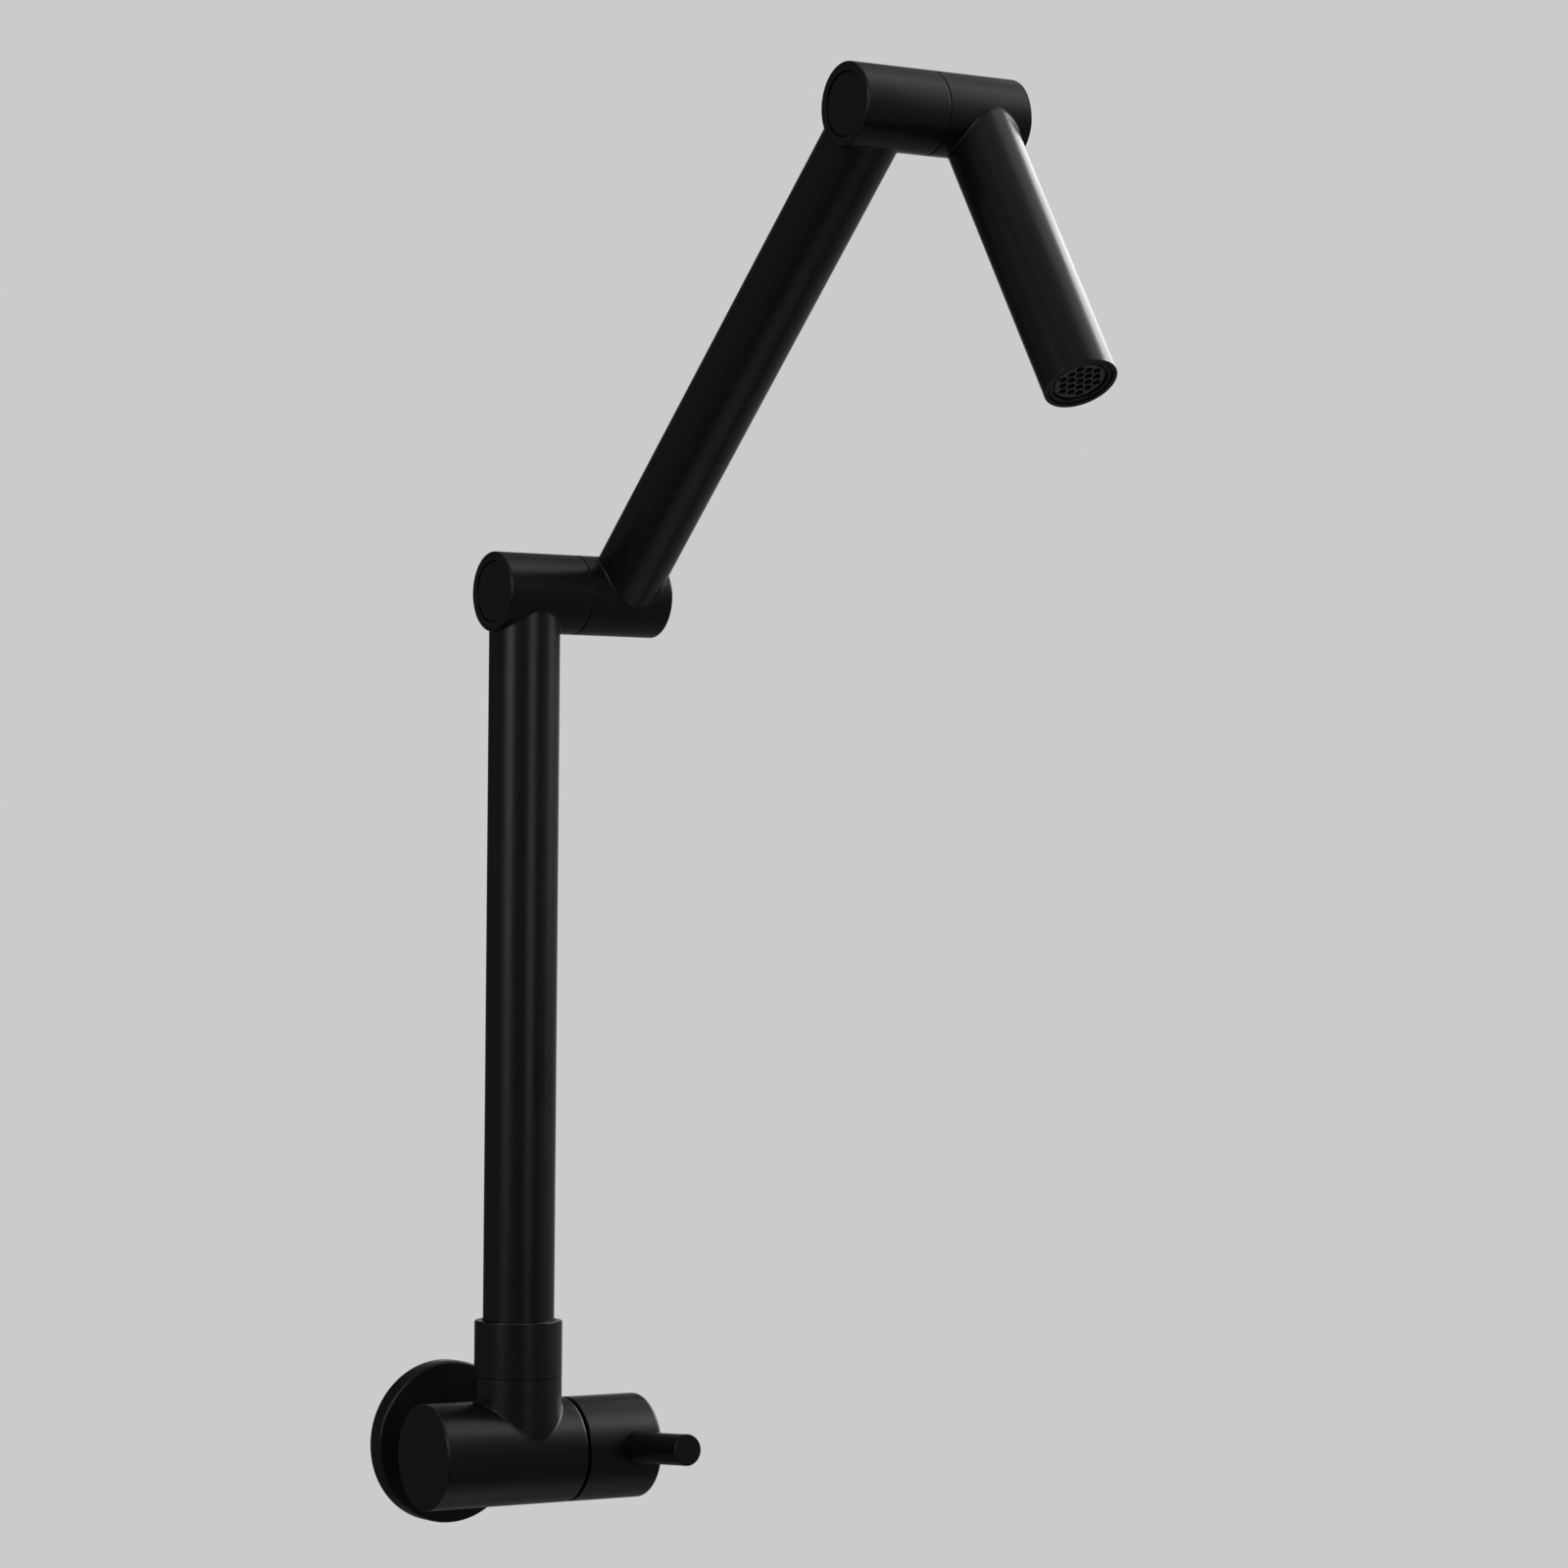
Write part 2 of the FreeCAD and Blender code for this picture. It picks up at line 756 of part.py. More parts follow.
def wall_flange():
    """Shallow cup that covers the hole in the wall."""
    corners = [
        (0, flange_radius - flange_wall),
        (flange_depth - flange_wall, flange_radius - flange_wall),
        (flange_depth - flange_wall, neck_radius + neck_play),
        (flange_depth, neck_radius + neck_play),
        (flange_depth, flange_radius, flange_round),
        (0, flange_radius),
    ]
    return aimed(turned(corners), -INWARD, V())


def flange_gasket():
    """Foam ring inside the flange's rim, flush with the wall."""
    outer = flange_radius - flange_wall
    return aimed(ring(0, flange_depth - flange_wall, outer - gasket_width, outer), -INWARD, V())


def flange_grip_ring():
    """Rubber ring inside the flange that grips the neck."""
    middle = flange_depth - flange_wall - seal_width(grip_wire) / 2
    return aimed(seal_ring(middle, neck_radius, grip_wire), -INWARD, V())


def inlet_nipple():
    """Threaded nipple between the neck and the pipe in the wall."""
    start = nipple_start_y
    groove_start = neck_end_y
    groove_end = -nipple_wall_overlap
    end = groove_end + nipple_wall_thread
    outer = turned([
        (start, 0),
        (start, nipple_radius),
        (groove_start, nipple_radius),
        (groove_start, nipple_groove_radius),
        (groove_end, nipple_groove_radius),
        (groove_end, nipple_radius),
        (end, nipple_radius),
        (end, nipple_mouth_radius),
        (end - nipple_mouth_depth, nipple_mouth_radius),
        (end - nipple_mouth_depth, 0),
    ])
    key = prism(6, nipple_key_flats, start - overrun, end)
    return aimed(outer.cut(key), INWARD, V())


def inlet_washer():
    """Sealing washer at the bottom of the neck's thread."""
    floor = nipple_start_y - inlet_washer_thickness
    return aimed(ring(floor, nipple_start_y, neck_bore_radius, nipple_radius), INWARD, V())


def inlet_strainer():
    """Perforated disc pressed into the nipple's mouth."""
    end = nipple_wall_thread - nipple_wall_overlap
    start = end - nipple_mouth_depth
    disc = rod(start, start + strainer_thickness, nipple_mouth_radius)
    for index in range(strainer_hole_count):
        angle = 2 * math.pi * index / strainer_hole_count
        hole = rod(start - overrun, end + overrun, strainer_hole_radius)
        hole.translate(V(0, math.cos(angle), math.sin(angle)) * strainer_ring_radius)
        disc = disc.cut(hole)
    return aimed(disc, INWARD, V())


# Headwork, made along X from the seat.
fixed_disc_start = seat_seal_thickness
turning_disc_start = fixed_disc_start + fixed_disc_thickness + face_gap
stem_flange_start = turning_disc_start + turning_disc_thickness
stem_flange_end = stem_flange_start + stem_flange_thickness
nose_floor = stem_flange_end + face_gap + stem_washer_thickness
housing_flange_start = seat_depth
housing_hex_start = housing_flange_start + housing_flange_thickness
housing_end = housing_hex_start + housing_hex_height
clip_start = housing_end + face_gap
stem_end = clip_start + clip_thickness
spline_end = stem_end + spline_length
stem_seal_places = [nose_floor + share * (housing_end - nose_floor) for share in stem_seal_shares]


def cartridge_housing():
    """Housing with the nose that holds the discs, its windows, thread, flange and hexagon."""
    solid = turned([
        (0, nose_bore_radius),
        (0, nose_radius),
        (gallery_width, nose_radius),
        (gallery_width, housing_thread_radius - thread_fit),
        (housing_flange_start, housing_thread_radius - thread_fit),
        (housing_flange_start, housing_flange_radius),
        (housing_hex_start, housing_flange_radius),
        (housing_hex_start, stem_radius + running_fit),
        (nose_floor, stem_radius + running_fit),
        (nose_floor, nose_bore_radius),
    ])
    bore = rod(housing_hex_start - overrun, housing_end + overrun, stem_radius + running_fit)
    hexagon = prism(6, housing_hex_flats, housing_hex_start, housing_end)
    solid = solid.fuse(hexagon.cut(bore)).removeSplitter()
    window_end = nose_floor - window_end_margin
    window = Part.makeBox(window_end - turning_disc_start, window_width, 2 * nose_radius)
    window.translate(V(turning_disc_start, -window_width / 2, -nose_radius))
    return on_body_axis(solid.cut(window), seat_x)


def cartridge_seat_seal():
    """Rubber ring between the seat and the fixed disc."""
    return on_body_axis(ring(0, seat_seal_thickness, seat_seal_hole, seat_seal_radius), seat_x)


def disc_ports(start, stop, outer):
    """The two opposite openings of a ceramic disc."""
    shapes = []
    for turn in (90, 270):
        slice_solid = pie(start - overrun, stop + overrun, outer, disc_port_angle, turn)
        shapes.append(slice_solid.cut(rod(start - 2 * overrun, stop + 2 * overrun, disc_port_inner)))
    return shapes


def ceramic_fixed_disc():
    """Disc that stands still in the housing."""
    stop = fixed_disc_start + fixed_disc_thickness
    solid = rod(fixed_disc_start, stop, fixed_disc_radius)
    for port in disc_ports(fixed_disc_start, stop, disc_port_outer):
        solid = solid.cut(port)
    return on_body_axis(solid, seat_x)


def tenon():
    """Tongue of the stem that drives the turning disc."""
    tongue = Part.makeBox(tenon_depth, tenon_length, tenon_width)
    tongue.translate(V(stem_flange_start - tenon_depth, -tenon_length / 2, -tenon_width / 2))
    return tongue


def ceramic_turning_disc():
    """Disc that the stem turns; its openings run out to the rim."""
    stop = turning_disc_start + turning_disc_thickness
    solid = rod(turning_disc_start, stop, turning_disc_radius)
    for port in disc_ports(turning_disc_start, stop, turning_disc_radius + overrun):
        solid = solid.cut(port)
    return on_body_axis(solid.cut(tenon()), seat_x)


def cartridge_stem():
    """Stem with its flange and tongue, two seal grooves, clip groove and splined end."""
    corners = [(stem_flange_start, 0), (stem_flange_start, stem_flange_radius)]
    corners += [(stem_flange_end, stem_flange_radius), (stem_flange_end, stem_radius)]
    for place in stem_seal_places:
        corners += seal_groove(place, stem_radius, small_seal_wire)
    corners += [(clip_start, stem_radius), (clip_start, clip_groove_radius)]
    corners += [(stem_end, clip_groove_radius), (stem_end, 0)]
    teeth = splined(stem_end, spline_end, spline_radius - spline_tooth, spline_tooth)
    return on_body_axis(turned(corners).fuse([tenon(), teeth]), seat_x)


def stem_seals():
    """The two small rings in the stem's grooves."""
    floor = stem_radius - small_seal_wire
    rings = [seal_ring(place, floor, small_seal_wire) for place in stem_seal_places]
    return on_body_axis(Part.makeCompound(rings), seat_x)


def stem_washer():
    """Slip washer between the stem's flange and the housing."""
    inner = stem_radius + free_gap
    return on_body_axis(ring(stem_flange_end + face_gap, nose_floor, inner, stem_flange_radius), seat_x)


def stem_clip():
    """Open ring that stops the stem from sliding back."""
    clip = ring(clip_start, stem_end, clip_groove_radius, clip_radius)
    mouth = Part.makeBox(clip_thickness, clip_opening, clip_radius)
    mouth.translate(V(clip_start, -clip_opening / 2, 0))
    return on_body_axis(clip.cut(mouth), seat_x)


def housing_seal():
    """Ring between the body's face and the housing's flange."""
    seat = housing_seal_seat - housing_seal_wire / 2
    return on_body_axis(seal_ring(housing_seal_middle, seat, housing_seal_wire), seat_x)


# Hub, made along X from its left face, with the lever along its own direction.
lever_direction = V(0, -math.cos(math.radians(lever_rise_angle)), math.sin(math.radians(lever_rise_angle)))
lever_place = hub_length - lever_from_end
lever_seat_radius = body_radius - lever_seat_depth
lever_stud_end = lever_seat_radius - lever_stud_length
spline_start = hub_cavity_depth
spline_stop = seat_x + spline_end - hub_x + free_gap


def handle_hub():
    """Hub with its cavity over the hexagon, splined bore, lever seat and grub screw hole."""
    solid = turned([
        (0, hub_cavity_radius),
        (0, body_radius - hub_bevel),
        (hub_bevel, body_radius),
        (hub_length, body_radius, hub_round),
        (hub_length, 0),
        (hub_cavity_depth, 0),
        (hub_cavity_depth, hub_cavity_radius),
    ])
    root = spline_radius - spline_tooth + spline_play
    solid = solid.cut(splined(spline_start - overrun, spline_stop, root, spline_tooth))
    foot = V(lever_place, 0, 0)
    seat_foot = foot + lever_direction * lever_seat_radius
    seat_length = lever_seat_depth + overrun
    solid = solid.cut(Part.makeCylinder(lever_radius + running_fit, seat_length, seat_foot, lever_direction))
    stud_end = foot + lever_direction * (lever_stud_end - free_gap)
    stud_hole = Part.makeCylinder(lever_stud_radius + thread_fit, body_radius, stud_end, lever_direction)
    solid = solid.cut(stud_hole)
    grub_foot = V(grub_from_left, 0, 0)
    grub_hole = Part.makeCylinder(grub_radius + thread_fit, body_radius + overrun, grub_foot, DOWN)
    return on_body_axis(solid.cut(grub_hole), hub_x)


def lever_pin():
    """Straight pin screwed into the hub, with a chamfered tip."""
    solid = turned([
        (lever_stud_end, 0),
        (lever_stud_end, lever_stud_radius),
        (lever_seat_radius, lever_stud_radius),
        (lever_seat_radius, lever_radius),
        (lever_reach - lever_chamfer, lever_radius),
        (lever_reach, lever_radius - lever_chamfer),
        (lever_reach, 0),
    ])
    return aimed(solid, lever_direction, body_axis + V(hub_x + lever_place, 0, 0))


def handle_grub_screw():
    """Socket grub screw that clamps the hub to the stem, in the hub's underside."""
    start = spline_radius
    screw = rod(start, start + grub_length, grub_radius)
    key = prism(6, grub_key_flats, start + grub_length - grub_key_depth, start + grub_length + overrun)
    return aimed(screw.cut(key), DOWN, body_axis + V(hub_x + grub_from_left, 0, 0))


def all_parts():
    """Every piece by its name."""
    elbow = barrel_parts(riser_side_lean_angle, arm_lean_angle, elbow_axis)
    top = barrel_parts(arm_lean_angle + riser_side_lean_angle, spout_lean_angle, top_axis)
    return {
        "wall_flange": wall_flange(),
        "flange_gasket": flange_gasket(),
        "flange_grip_ring": flange_grip_ring(),
        "inlet_nipple": inlet_nipple(),
        "inlet_washer": inlet_washer(),
        "inlet_strainer": inlet_strainer(),
        "valve_body": valve_body(),
        "cartridge_housing": cartridge_housing(),
        "housing_seal": housing_seal(),
        "cartridge_seat_seal": cartridge_seat_seal(),
        "ceramic_fixed_disc": ceramic_fixed_disc(),
        "ceramic_turning_disc": ceramic_turning_disc(),
        "cartridge_stem": cartridge_stem(),
        "stem_seals": stem_seals(),
        "stem_washer": stem_washer(),
        "stem_clip": stem_clip(),
        "handle_hub": handle_hub(),
        "lever_pin": lever_pin(),
        "handle_grub_screw": handle_grub_screw(),
        "riser_collar": riser_collar(),
        "riser_guide_ring": riser_guide_ring(),
        "riser_thrust_washer": riser_thrust_washer(),
        "riser_spigot": riser_spigot(),
        "spigot_seals": spigot_seals(),
        "riser_tube": riser_tube(),
        "riser_barrel": elbow["left"],
        "elbow_cap": elbow["cap"],
        "elbow_seam_washer": elbow["seam"],
        "elbow_slide_washer": elbow["slide"],
        "elbow_spindle": elbow["spindle"],
        "elbow_seals": elbow["seals"],
        "elbow_disc_spring": elbow["spring"],
        "elbow_lock_nut": elbow["nut"],
        "arm_lower_barrel": elbow["right"],
        "arm_tube": arm_tube(),
        "arm_upper_barrel": top["left"],
        "top_cap": top["cap"],
        "top_seam_washer": top["seam"],
        "top_slide_washer": top["slide"],
        "top_spindle": top["spindle"],
        "top_seals": top["seals"],
        "top_disc_spring": top["spring"],
        "top_lock_nut": top["nut"],
        "spout_barrel": top["right"],
        "spout_tube": spout_tube(),
        "spout_sleeve": mouth_part(spout_sleeve()),
        "aerator_washer": mouth_part(aerator_washer()),
        "aerator_housing": mouth_part(aerator_housing()),
        "aerator_insert": mouth_part(aerator_insert()),
    }


os.makedirs("parts", exist_ok=True)
for name, shape in all_parts().items():
    shape.exportStep("parts/" + name + ".step")
    print(name, len(shape.Solids), "solids, valid", shape.isValid(), "volume", round(shape.Volume, 1))
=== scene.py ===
import json
import logging
import math
from abc import ABC, abstractmethod
from dataclasses import dataclass, field
from enum import Enum, IntEnum
from functools import partial
from typing import Callable, Optional, Sequence

import bmesh
import bpy
from bpy.types import Material, Node, NodeSocket, NodeTree, Object
from mathutils import Euler, Matrix, Vector


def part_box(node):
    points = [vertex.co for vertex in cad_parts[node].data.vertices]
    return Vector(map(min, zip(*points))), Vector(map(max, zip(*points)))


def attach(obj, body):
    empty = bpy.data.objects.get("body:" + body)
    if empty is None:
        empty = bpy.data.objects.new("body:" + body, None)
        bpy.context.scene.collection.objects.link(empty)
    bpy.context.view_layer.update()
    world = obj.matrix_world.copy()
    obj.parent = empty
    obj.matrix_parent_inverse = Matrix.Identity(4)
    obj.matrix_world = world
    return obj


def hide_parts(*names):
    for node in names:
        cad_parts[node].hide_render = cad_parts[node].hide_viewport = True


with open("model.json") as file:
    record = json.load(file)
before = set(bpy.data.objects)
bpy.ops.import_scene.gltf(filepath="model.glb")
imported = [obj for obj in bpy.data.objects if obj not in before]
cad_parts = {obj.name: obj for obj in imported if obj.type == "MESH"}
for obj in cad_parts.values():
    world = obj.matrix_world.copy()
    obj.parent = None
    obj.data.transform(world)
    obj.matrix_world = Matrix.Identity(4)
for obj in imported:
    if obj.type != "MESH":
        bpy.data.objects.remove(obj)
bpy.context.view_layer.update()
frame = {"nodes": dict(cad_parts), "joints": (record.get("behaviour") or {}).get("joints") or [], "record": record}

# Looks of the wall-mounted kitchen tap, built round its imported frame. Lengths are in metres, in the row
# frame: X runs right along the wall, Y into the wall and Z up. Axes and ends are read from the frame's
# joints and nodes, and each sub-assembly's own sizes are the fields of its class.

MM = 0.001
NEAR = 0.002 * MM
ORIGIN = Vector((0, 0, 0))
UPRIGHT = Vector((0, 0, 1))
RIGHT = Vector((1, 0, 0))
INWARD = Vector((0, 1, 0))
Triple = tuple[float, float, float]
Colour = tuple[float, float, float, float]
Rows = Sequence[tuple[float, ...]]
log = logging.getLogger("wall_tap")


class Body(Enum):
    """Moving bodies of the frame."""

    VALVE_BASE = "valve_base"
    HANDLE = "handle"
    RISER = "riser"
    ARM = "arm"
    SPOUT = "spout"


class Seat(Enum):
    """How a ring of a piece is placed along its axis."""

    FREE = "free"
    FOOT = "foot"
    HEAD = "head"


class Facing(Enum):
    """Scale of each coordinate where the fine lines of machining lie across one of them."""

    ALONG_X = (1, 0.02, 0.02)
    ALONG_Y = (0.02, 1, 0.02)
    ALONG_Z = (0.02, 0.02, 1)


class Sides(IntEnum):
    """How many sides a form has, by what it is."""

    HEXAGON = 6
    CORD = 20
    PINHOLE = 24
    SCREW = 48
    HOLE = 64
    ROD = 96
    TUBE = 128
    BODY = 160
    FLANGE = 192
    BARREL_FORM = 360


@dataclass(frozen=True)
class Axis:
    """A line that pieces are made about."""

    origin: Vector
    direction: Vector

    def at(self, along: float) -> Vector:
        """Point this far along the line."""
        return self.origin + self.direction * along

    def turn(self) -> Euler:
        """Rotation that takes upright to the line's direction."""
        return UPRIGHT.rotation_difference(self.direction).to_euler()

    def place_of(self, point: Vector) -> tuple[float, float]:
        """Place of a point along the line, and its distance from the line."""
        along = (point - self.origin).dot(self.direction)
        return along, (point - self.at(along)).length


BENCH = Axis(ORIGIN, UPRIGHT)
TO_ROOM = Axis(ORIGIN, -INWARD)
TO_WALL = Axis(ORIGIN, INWARD)


@dataclass(frozen=True)
class Ring:
    """One ring of a turned piece. A seated ring is dropped onto its barrel and then moved by its rise."""

    along: float
    radius: float
    bevel: float = 0.0
    segments: int = 4
    seat: Seat = Seat.FREE
    rise: float = 0.0

    def holds(self, axis: Axis, point: Vector) -> bool:
        """Whether a point lies on this ring."""
        along, distance = axis.place_of(point)
        return abs(along - self.along) < NEAR and abs(distance - self.radius) < NEAR


def entry(table: Sequence[dict], name: str) -> dict:
    """Entry of a table of the frame that has this name."""
    return next(row for row in table if row["name"] == name)


def low(node: str) -> Vector:
    """Lowest corner of a CAD node."""
    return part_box(node)[0]


def high(node: str) -> Vector:
    """Highest corner of a CAD node."""
    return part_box(node)[1]


def lean_of(span: Vector) -> float:
    """Angle by which a span square to the X axis leans from upright towards the room."""
    return math.atan2(-span.y, span.z)


def corner_radius(flats: float) -> float:
    """Radius out to the corners of a hexagon that measures this across its flats."""
    return flats / 2 / math.cos(math.pi / Sides.HEXAGON)


@dataclass(frozen=True)
class Layout:
    """Axes of the tap, read from the frame."""

    body: Vector
    riser: Vector
    elbow: Vector
    top: Vector
    mouth: Vector
    arm_lean: float
    spout_lean: float

    @classmethod
    def from_frame(cls) -> "Layout":
        """Reads the joints' anchors and the outlet's place.

        Returns:
            The axes of the tap.
        """
        joints = ("handle_turn", "riser_swivel", "elbow_hinge", "spout_hinge")
        body, riser, elbow, top = (Vector(entry(frame["joints"], name)["pos_m"]) for name in joints)
        outlet = entry(frame["record"]["mounts"], "water_outlet")
        spout_lean = lean_of(Vector(outlet["axis"]))
        return cls(body, riser, elbow, top, Vector(outlet["pos_m"]), lean_of(top - elbow), spout_lean)


# Work on the meshes.
def object_mode() -> None:
    """Leaves edit mode and deselects everything, the CAD nodes included."""
    if bpy.context.object is not None and bpy.context.object.mode != "OBJECT":
        bpy.ops.object.mode_set(mode="OBJECT")
    bpy.ops.object.select_all(action="DESELECT")


def take(piece: Object) -> None:
    """Makes a piece the only selected and active one.

    Args:
        piece: The piece to take.
    """
    object_mode()
    piece.select_set(True)
    bpy.context.view_layer.objects.active = piece


def edit(piece: Object, kind: str) -> None:
    """Opens a piece in edit mode with nothing selected.

    Args:
        piece: The piece to edit.
        kind: What can be selected, VERT or EDGE.
    """
    take(piece)
    bpy.ops.object.mode_set(mode="EDIT")
    bpy.ops.mesh.select_mode(type=kind)
    bpy.ops.mesh.select_all(action="DESELECT")


def settled(name: str) -> Object:
    """Names the active piece and puts its place and turn into its mesh.

    Args:
        name: Name of the object and of its mesh.

    Returns:
        The piece.
    """
    piece = bpy.context.object
    piece.name = name
    piece.data.name = name
    bpy.ops.object.transform_apply(location=True, rotation=True, scale=True)
    return piece


def modified(piece: Object, kind: str, **settings: object) -> Object:
    """Puts a modifier on a piece and applies it.

    Args:
        piece: The piece.
        kind: The modifier's type.
        settings: The modifier's settings by name.

    Returns:
        The same piece.
    """
    take(piece)
    bpy.ops.object.modifier_add(type=kind)
    modifier = piece.modifiers[-1]
    for name, value in settings.items():
        setattr(modifier, name, value)
    bpy.ops.object.modifier_apply(modifier=modifier.name)
    return piece


def grow_to(axis: Axis, here: Ring, there: Ring) -> None:
    """Extrudes the selected ring to the next one, in edit mode.

    Args:
        axis: The line that the piece is made about.
        here: The ring that is selected.
        there: The ring to reach.
    """
    step = axis.direction * (there.along - here.along)
    bpy.ops.mesh.extrude_region_move(TRANSFORM_OT_translate={"value": step})
    share = there.radius / here.radius
    bpy.ops.transform.resize(value=(share, share, share), center_override=axis.at(there.along))


def group_ring(piece: Object, index: int, seat: Seat) -> None:
    """Puts the selected ring in its own vertex group and its seat's, and in no other, in edit mode.

    Args:
        piece: The piece in edit mode.
        index: The ring's number.
        seat: The ring's seat.
    """
    if piece.vertex_groups:
        bpy.ops.object.vertex_group_remove_from(use_all_groups=True)
    for name in (f"ring_{index}", seat.value):
        group = piece.vertex_groups.get(name) or piece.vertex_groups.new(name=name)
        piece.vertex_groups.active_index = group.index
        bpy.ops.object.vertex_group_assign()


def pick_edges(piece: Object, wanted: Callable[[Vector], bool]) -> int:
    """Selects the edges whose two ends are both wanted, in edit mode.

    Args:
        piece: The piece in edit mode.
        wanted: Test of a point.

    Returns:
        How many edges are selected.
    """
    bpy.ops.mesh.select_all(action="DESELECT")
    mesh = bmesh.from_edit_mesh(piece.data)
    mesh.select_mode = {"EDGE"}
    inside = {vertex: wanted(vertex.co) for vertex in mesh.verts}
    edges = [edge for edge in mesh.edges if inside[edge.verts[0]] and inside[edge.verts[1]]]
    for edge in edges:
        edge.select = True
    bmesh.update_edit_mesh(piece.data)
    return len(edges)


def close_up() -> None:
    """Merges doubles and turns every face outwards, in edit mode."""
    bpy.ops.mesh.select_all(action="SELECT")
    bpy.ops.mesh.remove_doubles(threshold=NEAR / 2)
    bpy.ops.mesh.normals_make_consistent(inside=False)


def ringed(name: str, axis: Axis, rings: Sequence[Ring], closed: bool, sides: int) -> Object:
    """Draws a turned piece ring by ring, bevels the rings that ask for it and leaves it in edit mode.

    Args:
        name: The piece's name.
        axis: The line that it is made about.
        rings: The rings, in order along the profile.
        closed: Whether the last ring joins the first, as in a sleeve. Otherwise both ends are capped.
        sides: Number of points in each ring.

    Returns:
        The piece. If any ring is seated, each ring is kept as a vertex group.
    """
    object_mode()
    bpy.ops.mesh.primitive_circle_add(
        vertices=sides, radius=rings[0].radius, fill_type="NOTHING" if closed else "NGON",
        location=axis.at(rings[0].along), rotation=axis.turn())
    piece = settled(name)
    bpy.ops.object.mode_set(mode="EDIT")
    bpy.ops.mesh.select_all(action="SELECT")
    seated = any(ring.seat is not Seat.FREE for ring in rings)
    for count in range(len(rings) + closed):
        index = count % len(rings)
        if count:
            grow_to(axis, rings[count - 1], rings[index])
        if seated:
            group_ring(piece, index, rings[index].seat)
    close_up()
    bpy.ops.mesh.select_mode(type="EDGE")
    for ring in rings:
        if ring.bevel <= 0:
            continue
        if not pick_edges(piece, partial(ring.holds, axis)):
            raise ValueError(f"{name} has no ring at {ring.along:.5f}, radius {ring.radius:.5f}")
        bpy.ops.mesh.bevel(offset=ring.bevel, segments=ring.segments, profile=0.5, affect="EDGES")
    return piece


def smooth(piece: Object, sharp_over: float = 34.0) -> Object:
    """Shades a finished piece smooth, with flat faces kept flat.

    Args:
        piece: The piece.
        sharp_over: Angle in degrees from which an edge stays sharp.

    Returns:
        The same piece.
    """
    take(piece)
    bpy.ops.object.shade_smooth_by_angle(angle=math.radians(sharp_over))
    return modified(piece, "WEIGHTED_NORMAL", keep_sharp=True)


def turned(name: str, axis: Axis, rows: Rows, closed: bool = False, sides: int = Sides.TUBE) -> Object:
    """Turned piece with its edges rounded, as a lathe would make it.

    Args:
        name: The piece's name.
        axis: The line that it is turned about.
        rows: Place, radius, bevel and the bevel's segments of each ring in its profile.
        closed: Whether the profile closes on itself. Otherwise both ends are capped.
        sides: Number of points in each ring.

    Returns:
        The piece, smooth and in place.
    """
    piece = ringed(name, axis, [Ring(*row) for row in rows], closed, sides)
    close_up()
    return smooth(piece)


def rod(axis: Axis, radius: float, start: float, stop: float, sides: int = Sides.HOLE) -> Object:
    """Plain rod that serves as a cutter.

    Args:
        axis: The line that it lies on.
        radius: Its radius, out to the corners.
        start: Where it starts along the line.
        stop: Where it ends.
        sides: Number of its sides.

    Returns:
        The cutter.
    """
    object_mode()
    bpy.ops.mesh.primitive_cylinder_add(
        vertices=sides, radius=radius, depth=stop - start,
        location=axis.at((start + stop) / 2), rotation=axis.turn())
    return settled("cutter")


def cut(piece: Object, cutter: Object) -> None:
    """Cuts a piece with a cutter and throws the cutter away."""
    modified(piece, "BOOLEAN", operation="DIFFERENCE", solver="EXACT", object=cutter)
    bpy.data.objects.remove(cutter)


def copied(piece: Object, name: str, shift: Vector) -> Object:
    """Copies a piece with a mesh of its own and moves the copy.

    Args:
        piece: The piece to copy.
        name: The copy's name.
        shift: Way from the piece to its copy.

    Returns:
        The copy, with its place in its mesh.
    """
    take(piece)
    bpy.ops.object.duplicate(linked=False)
    bpy.ops.transform.translate(value=shift)
    return settled(name)


def perforated(piece: Object, hole: Object, over: Vector, pitch: float, rings: int = 2) -> Object:
    """Cuts holes in rings of six round a middle one: the hole is made once and copied to its other places.

    Args:
        piece: The piece to perforate.
        hole: The middle hole's form.
        over: Direction square to the rows of holes, which run to the right.
        pitch: Way from hole to hole.
        rings: How many rings there are.

    Returns:
        The same piece.
    """
    forms = []
    for row in range(-rings, rings + 1):
        for column in range(-rings, rings + 1):
            if abs(row + column) > rings or row == column == 0:
                continue
            shift = (RIGHT * (column + row / 2) + over * row * math.sqrt(3) / 2) * pitch
            forms.append(copied(hole, f"hole_{len(forms)}", shift))
    take(hole)
    for form in forms:
        form.select_set(True)
    bpy.ops.object.join()
    cut(piece, hole)
    return smooth(piece)


